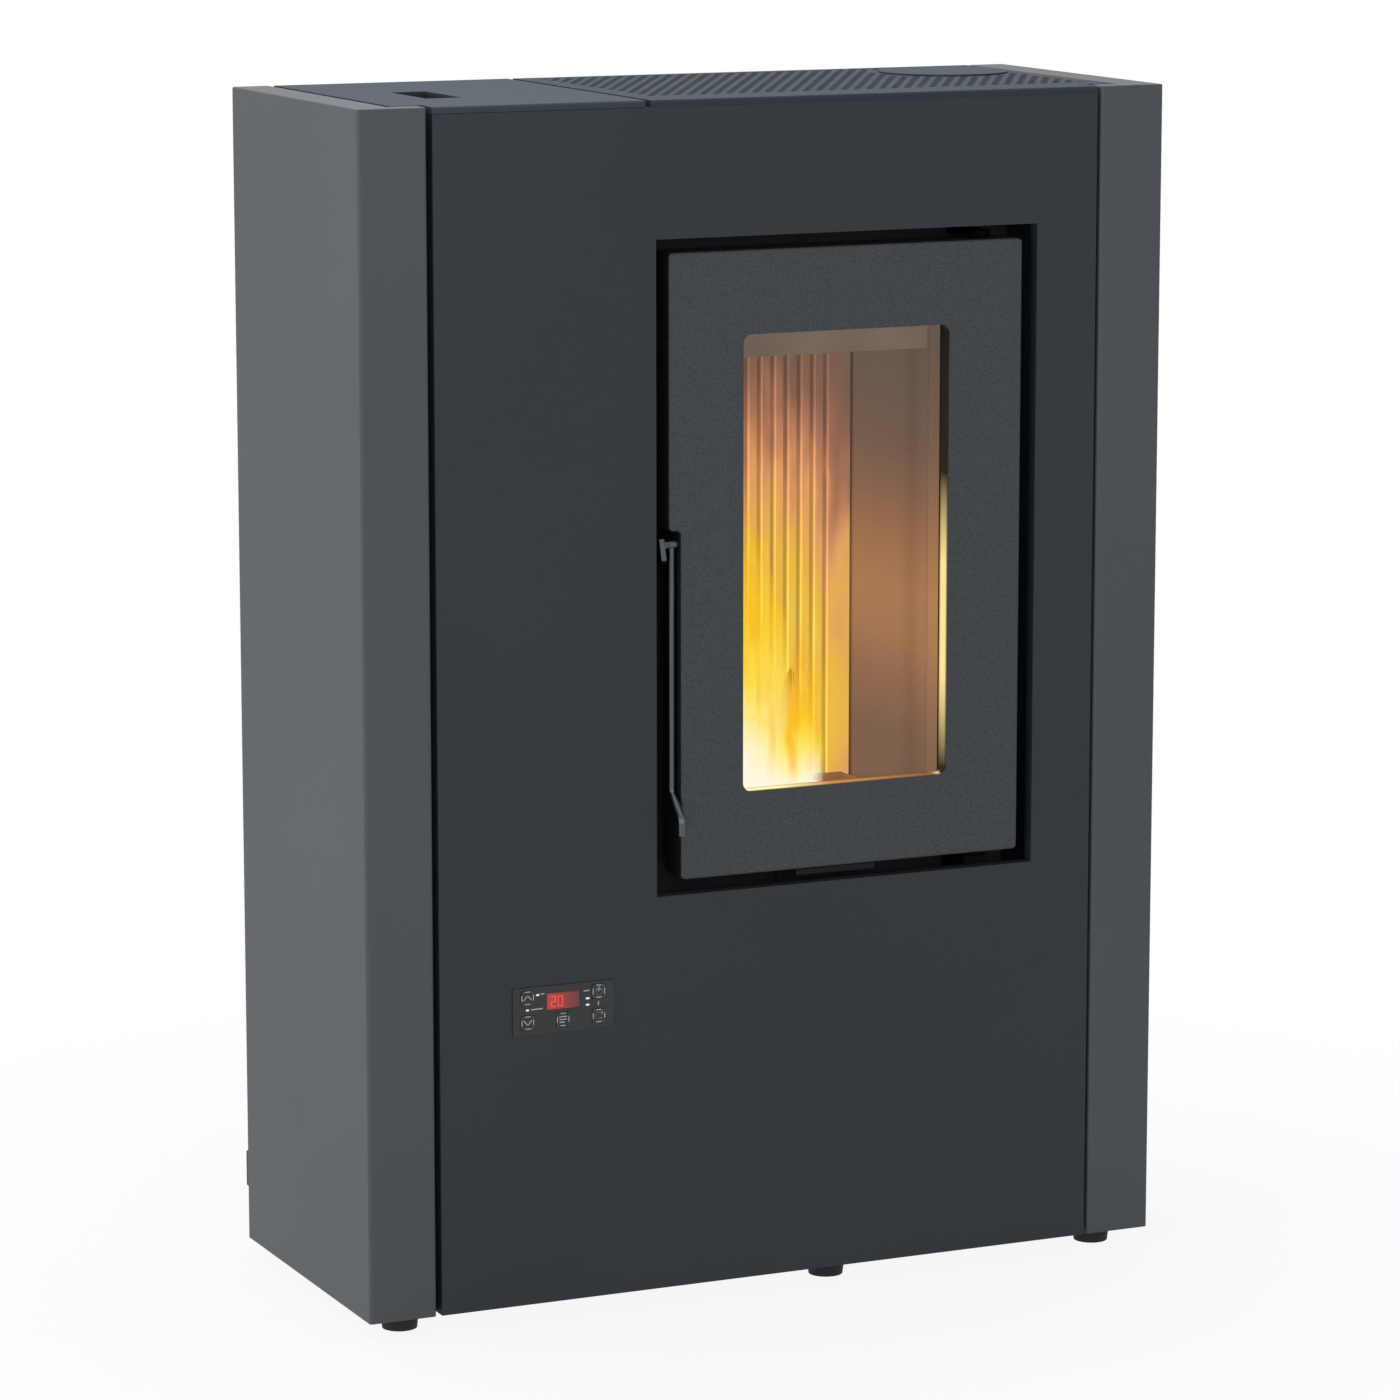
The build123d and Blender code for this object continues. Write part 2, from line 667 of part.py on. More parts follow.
with BuildPart() as door_frame:
    with BuildSketch(upright(door_depth)) as door_outline:
        with BuildLine():
            Polyline(
                (door_left, door_top),
                (door_right, door_top),
                (door_right, door_bottom),
                (notch_x, door_bottom),
                (notch_x, notch_top),
                (door_left, notch_top),
                close=True,
            )
        make_face()
        fillet(door_outline.vertices(), door_corner)
    extrude(door_outline.sketch, amount=door_depth)
    with BuildSketch(upright(door_depth)) as door_hollow:
        add(door_outline.sketch_local)
        offset(amount=-door_rim, kind=Kind.INTERSECTION)
    extrude(door_hollow.sketch, amount=door_depth - door_plate, mode=Mode.SUBTRACT)
    chamfer(door_frame.faces().sort_by(Axis.Y)[0].outer_wire().edges(), door_chamfer)
    # seat round the window for the glass
    frame_ring(
        (window_left, window_right),
        (window_bottom, window_top),
        spread(glass_x, glass_room),
        spread(glass_z, clip_room),
        (door_plate, jamb_depth),
    )
    # channel that holds the rope seal
    frame_ring(
        spread(rope_x, -rope / 2 - channel_wall),
        spread(rope_z, -rope / 2 - channel_wall),
        spread(rope_x, rope / 2 + channel_wall + margin),
        spread(rope_z, rope / 2 + channel_wall),
        (door_plate, rope_face - rope + channel_depth),
        corner=bend,
    )
    frame_ring(
        spread(rope_x, -rope / 2),
        spread(rope_z, -rope / 2),
        spread(rope_x, rope / 2),
        spread(rope_z, rope / 2),
        (rope_face - rope, rope_face - rope + channel_depth),
        Mode.SUBTRACT,
        corner=bend + channel_wall,
    )
    # bosses for the hinge pins and the handle pin
    for boss_z in ((door_top - boss_height, door_top), (door_bottom, door_bottom + boss_height)):
        block(spread((hinge_x, hinge_x), boss_half), (door_plate, hinge_y + boss_half), boss_z)
    block(
        (notch_x, notch_x + handle_boss),
        (margin, handle_y + handle_boss_half),
        spread((handle_z, handle_z), handle_boss_half),
    )
    with BuildSketch(upright(door_depth)) as window_hole:
        with Locations(((window_left + window_right) / 2, (window_bottom + window_top) / 2)):
            RectangleRounded(window_right - window_left, window_top - window_bottom, window_corner)
    extrude(window_hole.sketch, amount=door_depth, mode=Mode.SUBTRACT)
    pin_bore = hinge_pin_radius + running_fit
    pin_depth = 14.0
    disc(level(door_bottom), (hinge_x, hinge_y), pin_bore, pin_depth, Mode.SUBTRACT)
    disc(level(door_top), (hinge_x, hinge_y), pin_bore, -pin_depth, Mode.SUBTRACT)
    disc(
        sideways(notch_x),
        (handle_y, handle_z),
        handle_pin_radius,
        handle_boss - margin,
        Mode.SUBTRACT,
    )
finish(door_frame.part, "door_frame")

with BuildPart() as glass_gasket:
    frame_ring(
        spread((window_left, window_right), glass_room),
        spread((window_bottom, window_top), glass_room),
        glass_x,
        glass_z,
        (jamb_depth, glass_front),
        corner=margin,
    )
finish(glass_gasket.part, "glass_gasket")

with BuildPart() as door_glass:
    block(glass_x, (glass_front, glass_back), glass_z)
finish(door_glass.part, "door_glass")

with BuildPart() as glass_clips:
    clip_width = 24.0
    clip_reach = 7.0
    clip_thickness = 1.5
    clip_inset = 30.0
    clip_screw_radius = 2.6
    clip_screw_height = 2.0
    for clip_x in (window_left + clip_inset, window_right - clip_inset):
        for side, edge_z in ((-1, glass_z[0]), (1, glass_z[1])):
            outer_z = edge_z + side * (clip_reach - seat_gap)
            inner_z = edge_z - side * (clip_reach - margin)
            foot_z = edge_z + side * seat_gap
            block(
                spread((clip_x, clip_x), clip_width / 2),
                (glass_back, glass_back + clip_thickness),
                (min(inner_z, outer_z), max(inner_z, outer_z)),
            )
            block(
                spread((clip_x, clip_x), clip_width / 2),
                (jamb_depth, glass_back),
                (min(foot_z, outer_z), max(foot_z, outer_z)),
            )
            disc(
                upright(glass_back + clip_thickness),
                (clip_x, edge_z + side * clip_reach / 2),
                clip_screw_radius,
                -clip_screw_height,
            )
finish(glass_clips.part, "glass_clips")

with BuildPart() as door_gasket:
    frame_ring(
        spread(rope_x, -rope / 2),
        spread(rope_z, -rope / 2),
        spread(rope_x, rope / 2),
        spread(rope_z, rope / 2),
        (rope_face - rope, rope_face),
        corner=bend + channel_wall,
    )
finish(door_gasket.part, "door_gasket")

with BuildPart() as door_hinge_brackets:
    bracket_half = 10.0
    pin_reach = 12.0
    washer_width = 3.0
    bracket_foot = 4.0          # thickness of the plate against the bulkhead
    bracket_foot_reach = 16.0
    bracket_gap = seat_gap + thrust_washer
    top_bracket = (door_top + bracket_gap, door_top + bracket_gap + hinge_bracket)
    low_bracket = (door_bottom - bracket_gap - hinge_bracket, door_bottom - bracket_gap)
    for span, towards in ((top_bracket, -1), (low_bracket, 1)):
        with BuildSketch(level(span[0])) as arm:
            with Locations((hinge_x, (hinge_y + bulkhead_y) / 2)):
                Rectangle(2 * bracket_half, bulkhead_y - hinge_y)
            with Locations((hinge_x, hinge_y)):
                Circle(bracket_half)
        extrude(arm.sketch, amount=hinge_bracket)
        start = span[0] if towards < 0 else span[1]
        disc(
            level(start),
            (hinge_x, hinge_y),
            hinge_pin_radius,
            towards * (bracket_gap + pin_reach),
        )
        disc(level(start), (hinge_x, hinge_y), hinge_pin_radius + washer_width, towards * thrust_washer)
        block(
            spread((hinge_x, hinge_x), bracket_half),
            (bulkhead_y - bracket_foot, bulkhead_y),
            (
                min(span[0], span[0] - bracket_foot_reach * towards),
                max(span[1], span[1] - bracket_foot_reach * towards),
            ),
        )
finish(door_hinge_brackets.part, "door_hinge_brackets")

with BuildPart() as handle_pin:
    hub_left = handle_x - handle_rod / 2 - hook_offset
    pin_head = 1.0
    pin_head_edge = 1.5
    disc(
        sideways(hub_left - seat_gap),
        (handle_y, handle_z),
        handle_pin_radius,
        notch_x + handle_boss - margin - hub_left + seat_gap,
    )
    disc(
        sideways(hub_left - seat_gap),
        (handle_y, handle_z),
        handle_pin_radius + pin_head_edge,
        -pin_head,
    )
finish(handle_pin.part, "handle_pin")

with BuildPart() as door_handle:
    tip_z = handle_bend_z - handle_bend_drop
    with BuildLine(sideways(handle_x)) as rod_path:
        FilletPolyline(
            (handle_y, handle_z),
            (handle_y, handle_bend_z),
            (handle_y - handle_bend_out, tip_z),
            (handle_y - handle_bend_out, tip_z - handle_tip),
            radius=handle_rod,
        )
    with BuildSketch(Plane(origin=rod_path.line @ 0, z_dir=rod_path.line % 0)) as rod_section:
        Circle(handle_rod / 2)
    sweep(rod_section.sketch, path=rod_path.line)
    # the hub is hardly wider than the rod; a thinner collar keeps it off the hook
    hub_shoulder = handle_x - handle_rod / 2 - seat_gap
    hub_length = handle_rod + 2 * seat_gap
    disc(sideways(hub_shoulder), (handle_y, handle_z), handle_hub, hub_length)
    hub_end = hub_left + hook_thickness + running_fit
    collar_radius = handle_hub - 0.5
    disc(sideways(hub_end), (handle_y, handle_z), collar_radius, handle_x - hub_end)
    # the hook is a plate of its own, keyed on the pin beside the hub
    hook_front = handle_y - hook_nose
    prism(
        sideways(hub_left),
        [
            (handle_y - 2, handle_z + 5),
            (hook_front - 0.5, handle_z - 12.5),
            (hook_front + 4, handle_z - 16),
            (rope_face - 2, handle_z - 15),
            (rope_face - 2, handle_z - hook_drop),
            (handle_y + 10, handle_z - hook_drop),
            (handle_y + 5, handle_z - 7),
            (handle_y + 5, handle_z + 3),
        ],
        hook_thickness,
    )
    disc(
        sideways(hub_left),
        (handle_y, handle_z),
        handle_pin_radius + running_fit,
        notch_x - hub_left,
        Mode.SUBTRACT,
    )
finish(door_handle.part, "door_handle")

with BuildPart() as latch_striker:
    striker_radius = 4.0
    striker_y = rope_face - 6
    striker_foot = 5.0          # back plate above and below the cheeks
    striker_z = handle_z - hook_drop + latch_air + striker_radius
    cheek = 3.0
    cheek_left = hub_left - margin - cheek
    cheek_right = hub_left + hook_thickness + margin
    striker_width = cheek_right + cheek - cheek_left
    for cheek_x in (cheek_left, cheek_right):
        block(
            (cheek_x, cheek_x + cheek),
            (striker_y - striker_radius - cheek, bulkhead_y),
            spread((striker_z, striker_z), striker_radius + cheek),
        )
    block(
        (cheek_left, cheek_left + striker_width),
        (bulkhead_y - cheek, bulkhead_y),
        spread((striker_z, striker_z), striker_radius + cheek + striker_foot),
    )
    # the striker pin is a piece of its own in the fork's two holes
    striker_place = (striker_y, striker_z)
    pin_hole = striker_radius + running_fit
    disc(sideways(cheek_left), striker_place, pin_hole, striker_width, Mode.SUBTRACT)
    disc(sideways(cheek_left), striker_place, striker_radius, striker_width)
finish(latch_striker.part, "latch_striker")

# ======================= fire chamber =======================

igniter_z = pot_seat_top - 14
liner_rise = 14.0           # back liner above the baffle
smoke_hole_below = 120.0
smoke_hole_above = 20.0
igniter_radius = 9.0
seat_wall = 3.0
seat_x = spread((chamber_centre, chamber_centre), pot_width / 2 + margin / 2 + seat_wall)
seat_y = spread((pot_y, pot_y), pot_depth / 2 + margin / 2 + seat_wall)
pot_hole_x = spread(seat_x, -seat_wall)
pot_hole_y = spread(seat_y, -seat_wall)
chute_left = chamber_left - steel
rise = sin(radians(feed_angle))
run = cos(radians(feed_angle))
chute_end = mouth_left + chute_reach
chute_y = spread((feed_y, feed_y), chute_size / 2)


def feed_point(s, across):
    """x and z of a point s along the auger and so far across its slope."""
    return (feed_x + s * run - across * rise, feed_z + s * rise + across * run)


def on_feed(total, across):
    """Point across the auger's axis for which x + z has the given total."""
    s = (total - feed_x - feed_z - across * (run - rise)) / (run + rise)
    return feed_point(s, across)


# the chute falls at 45 degrees, so x + z is the same all along each of its two sides
chute_top_line = sum(feed_point(auger_high - end_cap / 2, -auger_tube_radius))
chute_low_line = chute_top_line - chute_size * 2**0.5
chute_skin = chute_wall * 2**0.5

with BuildPart() as firebox:
    box_x = (chamber_left - steel, chamber_right + steel)
    box_y = (chamber_front, chamber_back + steel)
    box_z = (chamber_floor - steel, chamber_top)
    block(box_x, box_y, box_z)
    block(
        (chamber_left, chamber_right),
        (chamber_front, chamber_back),
        (chamber_floor, chamber_top - steel),
        Mode.SUBTRACT,
    )
    block(pot_hole_x, pot_hole_y, (chamber_floor - steel, chamber_floor), Mode.SUBTRACT)
    block(
        (chamber_left - steel, chamber_left),
        chute_y,
        (chute_low_line - chamber_left, chute_top_line - chute_left),
        Mode.SUBTRACT,
    )
    smoke_hole_y = (back_liner_face + back_liner_thickness + margin, chamber_back - margin)
    smoke_hole_z = (baffle_height - smoke_hole_below, baffle_height + smoke_hole_above)
    block((chamber_right, chamber_right + steel), smoke_hole_y, smoke_hole_z, Mode.SUBTRACT)
    disc(
        upright(chamber_back + steel),
        (chamber_centre, igniter_z),
        igniter_radius + seat_gap,
        steel,
        Mode.SUBTRACT,
    )
finish(firebox.part, "firebox")

with BuildPart() as back_liner:
    liner_top = baffle_height + liner_rise
    liner_y = (back_liner_face, back_liner_face + back_liner_thickness)
    block((mouth_left, mouth_right), liner_y, (chamber_floor, liner_top))
    rib_count = int((chamber_width - 2 * rib_pitch) / rib_pitch)
    groove_width = rib_pitch - rib_width
    with BuildSketch(level(chamber_floor)) as grooves:
        with Locations((chamber_centre, back_liner_face + rib_depth / 2)):
            with GridLocations(rib_pitch, 0, rib_count, 1):
                Rectangle(groove_width, rib_depth)
    extrude(grooves.sketch, amount=liner_top - chamber_floor, mode=Mode.SUBTRACT)
    disc(
        upright(liner_y[1]),
        (chamber_centre, igniter_z),
        igniter_radius + seat_gap,
        back_liner_thickness,
        Mode.SUBTRACT,
    )
finish(back_liner.part, "back_liner")

with BuildPart() as side_liners:
    liner_side_y = (chamber_front, back_liner_face + back_liner_thickness)
    for liner_x in ((chamber_left, mouth_left), (mouth_right, chamber_right)):
        block(liner_x, liner_side_y, (chamber_floor, baffle_height))
    block(
        (chamber_left, mouth_left),
        chute_y,
        (chute_low_line - mouth_left, chute_top_line - chamber_left),
        Mode.SUBTRACT,
    )
finish(side_liners.part, "side_liners")

with BuildPart() as baffle:
    baffle_front = chamber_front + baffle_room
    block(
        spread((chamber_left, chamber_right), -baffle_room),
        (baffle_front, back_liner_face - smoke_slot),
        (baffle_height, baffle_height + baffle_thickness),
    )
    block(
        spread((mouth_left, mouth_right), -baffle_room),
        (baffle_front, baffle_front + baffle_thickness),
        (baffle_height - baffle_lip, baffle_height),
    )
finish(baffle.part, "baffle")

with BuildPart() as pot_seat:
    block(seat_x, seat_y, (chamber_floor, pot_seat_top))
    block(pot_hole_x, pot_hole_y, (chamber_floor, pot_seat_top), Mode.SUBTRACT)
    disc(
        upright(seat_y[1]),
        (chamber_centre, igniter_z),
        igniter_radius - 2,
        seat_wall,
        Mode.SUBTRACT,
    )
finish(pot_seat.part, "pot_seat")

with BuildPart() as burn_pot:
    pot_corner = 6.0
    air_hole_radius = 2.5
    air_hole_pitch = 14.0
    lighting_hole = 5.0         # radius of the hole that faces the igniter
    pot_top = pot_seat_top + steel
    pot_low = pot_seat_top - pot_height
    with BuildSketch(level(pot_low)) as pot_outline:
        with Locations((chamber_centre, pot_y)):
            RectangleRounded(pot_width, pot_depth, pot_corner)
    with BuildSketch(level(pot_low)) as pot_inside:
        with Locations((chamber_centre, pot_y)):
            RectangleRounded(
                pot_width - 2 * pot_wall,
                pot_depth - 2 * pot_wall,
                pot_corner - pot_wall,
            )
    with BuildSketch(level(pot_seat_top)) as pot_rim:
        with Locations((chamber_centre, pot_y)):
            RectangleRounded(pot_width + 2 * seat_wall, pot_depth + 2 * seat_wall, pot_corner)
    extrude(pot_outline.sketch, amount=pot_height)
    extrude(pot_rim.sketch, amount=steel)
    with BuildSketch(level(pot_low + pot_wall)) as pot_cavity:
        add(pot_inside.sketch_local)
    extrude(pot_cavity.sketch, amount=pot_top, mode=Mode.SUBTRACT)
    with BuildSketch(level(pot_low)) as air_holes:
        with Locations((chamber_centre, pot_y)):
            with GridLocations(air_hole_pitch, air_hole_pitch, 5, 4):
                Circle(air_hole_radius)
    extrude(air_holes.sketch, amount=pot_wall, mode=Mode.SUBTRACT)
    disc(
        upright(pot_y + pot_depth / 2),
        (chamber_centre, igniter_z),
        lighting_hole,
        pot_wall,
        Mode.SUBTRACT,
    )
finish(burn_pot.part, "burn_pot")

with BuildPart() as igniter:
    igniter_tip = seat_y[1] + seat_gap
    igniter_head = 20.0         # length of the socket behind the firebox
    igniter_collar = 6.0
    igniter_back = chamber_back + steel + igniter_head
    disc(
        upright(igniter_back),
        (chamber_centre, igniter_z),
        igniter_radius,
        igniter_back - igniter_tip,
    )
    disc(
        upright(igniter_back),
        (chamber_centre, igniter_z),
        igniter_radius + igniter_collar,
        igniter_back - chamber_back - steel,
    )
finish(igniter.part, "igniter")

with BuildPart() as ash_drawer:
    drawer_wall = 1.5
    pull_half = 30.0
    pull_reach = 9.0
    pull_thickness = 3.0
    drawer_x = spread((chamber_centre, chamber_centre), drawer_width / 2)
    drawer_z = (chamber_floor + seat_gap, chamber_floor + seat_gap + drawer_height)
    channel_x = spread(seat_x, margin)
    channel_y = (seat_y[0] - margin, drawer_back)
    block(drawer_x, (drawer_front, drawer_back), drawer_z)
    block(channel_x, channel_y, drawer_z, Mode.SUBTRACT)
    trough_z = (drawer_z[0] + drawer_wall, drawer_z[1])
    trough_y = (drawer_front + drawer_wall, drawer_back - drawer_wall)
    front_trough_y = (trough_y[0], channel_y[0] - drawer_wall)
    trough_left = (drawer_x[0] + drawer_wall, channel_x[0] - drawer_wall)
    trough_right = (channel_x[1] + drawer_wall, drawer_x[1] - drawer_wall)
    block(trough_left, trough_y, trough_z, Mode.SUBTRACT)
    block(trough_right, trough_y, trough_z, Mode.SUBTRACT)
    block((trough_left[0], trough_right[1]), front_trough_y, trough_z, Mode.SUBTRACT)
    block(
        spread((chamber_centre, chamber_centre), pull_half),
        (drawer_front - pull_reach, drawer_front),
        (drawer_z[1] - pull_thickness, drawer_z[1]),
    )
finish(ash_drawer.part, "ash_drawer")

with BuildPart() as air_box:
    air_wall = 2.0
    air_room = 4.0
    air_x = spread(seat_x, air_room)
    air_y = (seat_y[0] - air_room - air_wall, chamber_back - air_room - air_wall)
    air_z = (chamber_floor - steel - air_box_depth, chamber_floor - steel)
    block(air_x, air_y, air_z)
    block(
        spread(air_x, -air_wall),
        spread(air_y, -air_wall),
        (air_z[0] + air_wall, air_z[1]),
        Mode.SUBTRACT,
    )
    disc(
        upright(cabinet_depth + intake_reach),
        (intake_x, intake_z),
        intake_radius,
        cabinet_depth + intake_reach - air_y[1],
    )
    disc(
        upright(cabinet_depth + intake_reach),
        (intake_x, intake_z),
        intake_radius - intake_wall,
        cabinet_depth + intake_reach - air_y[1] + air_wall,
        Mode.SUBTRACT,
    )
finish(air_box.part, "air_box")

with BuildPart() as sill_plate:
    sill_rise = 3.0             # plate above the opening's lower edge
    sill_thickness = 5.0
    sill_half = 37.5
    sill_foot = 14.0
    sill_screw_x = 24.0
    sill_screw_y = 9.0
    sill_screw_radius = 3.0
    sill_screw_height = 1.6
    plate_z = (opening_bottom + sill_rise, opening_bottom + sill_rise + sill_thickness)
    plate_x = spread((chamber_centre, chamber_centre), sill_half)
    block(plate_x, (hinge_y, bulkhead_y), plate_z)
    block(plate_x, (bulkhead_y - steel, bulkhead_y), (plate_z[0] - sill_foot, plate_z[1]))
    for screw_x in spread((chamber_centre, chamber_centre), sill_screw_x):
        screw_place = (screw_x, hinge_y + sill_screw_y)
        disc(level(plate_z[1]), screw_place, sill_screw_radius, sill_screw_height)
finish(sill_plate.part, "sill_plate")

# ======================= hopper and feed =======================


def along_feed(s):
    """Plane square to the auger at distance s from the inlet, local x along the depth."""
    x, z = feed_point(s, 0)
    origin = (left + x, front + feed_y, foot_height + z)
    return Plane(origin=origin, x_dir=(0, 1, 0), z_dir=(run, 0, rise))


def neck(mode):
    """Square passage down to the auger tube, its lower edge along the auger's axis."""
    half = mouth_size / 2
    outline = [
        (feed_x - half, feed_z - half * rise / run),
        (feed_x + half, feed_z + half * rise / run),
        (feed_x + half, funnel_bottom),
        (feed_x - half, funnel_bottom),
    ]
    prism(upright(feed_y + half), outline, mouth_size, mode)


def flat(z, x, y):
    """Horizontal rectangle at height z."""
    with BuildSketch(level(z)) as outline:
        with Locations(((x[0] + x[1]) / 2, (y[0] + y[1]) / 2)):
            Rectangle(x[1] - x[0], y[1] - y[0])
    return outline.sketch


def hopper_wall_plate(wide_x, wide_y, narrow_x, narrow_y):
    """One wall of the bin, with its share of the funnel and of the neck."""
    block(wide_x, wide_y, (hopper_straight, hopper_top))
    wide = flat(hopper_straight, wide_x, wide_y)
    loft([wide, flat(funnel_bottom, narrow_x, narrow_y)], ruled=True)
    block(narrow_x, narrow_y, (feed_z - auger_tube_radius, funnel_bottom))


with BuildPart() as hopper:
    hopper_top = deck_top - sheet
    flange = 10.0
    flange_z = (hopper_top - hopper_wall, hopper_top)
    wide_x = (hopper_left, hopper_right)
    wide_y = (hopper_front, hopper_back)
    narrow_x = spread((feed_x, feed_x), mouth_size / 2)
    narrow_y = spread((feed_y, feed_y), mouth_size / 2)
    outer_y = (spread(wide_y, hopper_wall), spread(narrow_y, hopper_wall))
    flange_y = spread(wide_y, flange - margin)
    # two folded half shells, left with front and right with back, meet at two corners
    for side, way in ((0, -1), (1, 1)):
        shell_wide_x = sorted((wide_x[side], wide_x[side] + way * hopper_wall))
        shell_narrow_x = sorted((narrow_x[side], narrow_x[side] + way * hopper_wall))
        hopper_wall_plate(shell_wide_x, outer_y[0], shell_narrow_x, outer_y[1])
        block(sorted((wide_x[side], wide_x[side] + way * flange)), flange_y, flange_z)
        seam = (running_fit * side, running_fit * (side - 1))
        cross_wide_x = (wide_x[0] + seam[0], wide_x[1] + seam[1])
        cross_narrow_x = (narrow_x[0] + seam[0], narrow_x[1] + seam[1])
        cross_wide_y = sorted((wide_y[side], wide_y[side] + way * hopper_wall))
        cross_narrow_y = sorted((narrow_y[side], narrow_y[side] + way * hopper_wall))
        hopper_wall_plate(cross_wide_x, cross_wide_y, cross_narrow_x, cross_narrow_y)
        cross_flange_y = sorted((wide_y[side], wide_y[side] + way * (flange - margin)))
        block(cross_wide_x, cross_flange_y, flange_z)
    under_auger = [
        (feed_x - mouth_size, feed_z - mouth_size * rise / run),
        (feed_x + mouth_size, feed_z + mouth_size * rise / run),
        (feed_x + mouth_size, feed_z - mouth_size),
        (feed_x - mouth_size, feed_z - mouth_size),
    ]
    prism(upright(feed_y + mouth_size), under_auger, 2 * mouth_size, Mode.SUBTRACT)
    disc(along_feed(auger_low), (0, 0), auger_tube_radius, auger_high - auger_low, Mode.SUBTRACT)
finish(hopper.part, "hopper")

bore_radius = auger_tube_radius - auger_tube_wall
chute_inner_y = spread(chute_y, -chute_wall)
chute_mouth = [
    on_feed(chute_low_line + chute_skin, -bore_radius / 2),
    on_feed(chute_top_line - chute_skin, -bore_radius / 2),
    (chute_end, chute_top_line - chute_skin - chute_end),
    (chute_end, chute_low_line + chute_skin - chute_end),
]

with BuildPart() as auger_tube:
    disc(along_feed(auger_low), (0, 0), auger_tube_radius, auger_high - auger_low)
    disc(
        along_feed(auger_low + end_cap),
        (0, 0),
        bore_radius,
        auger_high - auger_low - 2 * end_cap,
        Mode.SUBTRACT,
    )
    disc(along_feed(auger_low), (0, 0), auger_shaft + running_fit, end_cap, Mode.SUBTRACT)
    neck(Mode.SUBTRACT)
    prism(upright(chute_inner_y[1]), chute_mouth, chute_size - 2 * chute_wall, Mode.SUBTRACT)
finish(auger_tube.part, "auger_tube")

with BuildPart() as pellet_chute:
    chute_outline = [
        on_feed(chute_low_line, -bore_radius / 2),
        on_feed(chute_top_line, -bore_radius / 2),
        (chute_end, chute_top_line - chute_end),
        (chute_end, chute_low_line - chute_end),
    ]
    prism(upright(chute_y[1]), chute_outline, chute_size)
    prism(upright(chute_inner_y[1]), chute_mouth, chute_size - 2 * chute_wall, Mode.SUBTRACT)
    disc(along_feed(auger_low), (0, 0), auger_tube_radius, auger_high - auger_low, Mode.SUBTRACT)
finish(pellet_chute.part, "pellet_chute")

with BuildPart() as auger_screw:
    flight_radius = bore_radius - auger_clearance
    flight_start = auger_low + end_cap + margin
    flight_end = auger_high - end_cap - margin
    flight_height = flight_end - flight_start - flight_thickness
    shaft_drive = 14.0          # end of the shaft inside the gearbox
    shaft_start = auger_low - shaft_drive
    disc(along_feed(shaft_start), (0, 0), auger_shaft, flight_end - shaft_start)
    flight_plane = along_feed(flight_start + flight_thickness / 2)
    with BuildLine():
        helix = Helix(
            pitch=auger_pitch,
            height=flight_height,
            radius=(auger_shaft + flight_radius) / 2,
            center=flight_plane.origin,
            direction=flight_plane.z_dir,
        )
    blade_plane = Plane(
        origin=helix @ 0,
        x_dir=helix @ 0 - flight_plane.origin,
        z_dir=helix % 0,
    )
    with BuildSketch(blade_plane) as blade:
        with Locations((-seat_gap, 0)):
            Rectangle(flight_radius - auger_shaft + 2 * seat_gap, flight_thickness)
    sweep(blade.sketch, path=helix, is_frenet=True)
finish(auger_screw.part, "auger_screw")

with BuildPart() as gearmotor:
    gearbox_half = 28.0
    gearbox_length = 36.0
    gearbox_corner = 5.0
    motor_length = 36.0
    motor_end_radius = 16.0
    motor_end_length = 4.0
    gear_start = auger_low - gearbox_length
    with BuildSketch(along_feed(gear_start)) as gearbox:
        RectangleRounded(2 * gearbox_half, 2 * gearbox_half, gearbox_corner)
    extrude(gearbox.sketch, amount=gearbox_length)
    motor_start = gear_start - motor_length
    disc(along_feed(motor_start), (0, 0), gearbox_half - gearbox_corner, motor_length)
    disc(along_feed(motor_start - motor_end_length), (0, 0), motor_end_radius, motor_end_length)
    disc(
        along_feed(shaft_start - seat_gap),
        (0, 0),
        auger_shaft + running_fit,
        auger_low - shaft_start + seat_gap,
        Mode.SUBTRACT,
    )
finish(gearmotor.part, "gearmotor")

# ======================= smoke path and flue =======================

duct_wall = 2.0
eye_radius = 35.0
eye_rim = 5.0
duct_setback = 10.0         # duct's front behind the fan's axis
duct_headroom = 7.0         # chamber's top above the duct
fan_outlet_offset = 25.0    # outlet's left wall right of the fan's axis
smoke_shaft = 16.0          # end of the shaft inside the motor
duct_left = chamber_right + steel
duct_right = duct_left + smoke_duct_width
duct_front = smoke_fan_y + duct_setback
duct_y = (duct_front, chamber_back)
duct_foot_x = spread((smoke_fan_x, smoke_fan_x), eye_radius + eye_rim)
duct_foot_y = (smoke_fan_y - eye_radius - eye_rim, chamber_back)
duct_foot_z = (smoke_fan_top, chamber_floor - steel - margin)
duct_top = chamber_top - duct_headroom
smoke_fan_z = (smoke_fan_top - smoke_fan_height, smoke_fan_top)
motor_spindle = 4.0

with BuildPart() as smoke_duct:
    block(duct_foot_x, duct_foot_y, duct_foot_z)
    block((duct_left, duct_right), duct_y, (duct_foot_z[0], duct_top))
    block(
        spread(duct_foot_x, -duct_wall),
        spread(duct_foot_y, -duct_wall),
        spread(duct_foot_z, -duct_wall),
        Mode.SUBTRACT,
    )
    block(
        (duct_left + duct_wall, duct_right - duct_wall),
        spread(duct_y, -duct_wall),
        (duct_foot_z[0] + duct_wall, duct_top - duct_wall),
        Mode.SUBTRACT,
    )
    block((duct_left, duct_left + duct_wall), smoke_hole_y, smoke_hole_z, Mode.SUBTRACT)
    disc(
        level(duct_foot_z[0]),
        (smoke_fan_x, smoke_fan_y),
        eye_radius,
        duct_wall,
        Mode.SUBTRACT,
    )
finish(smoke_duct.part, "smoke_duct")

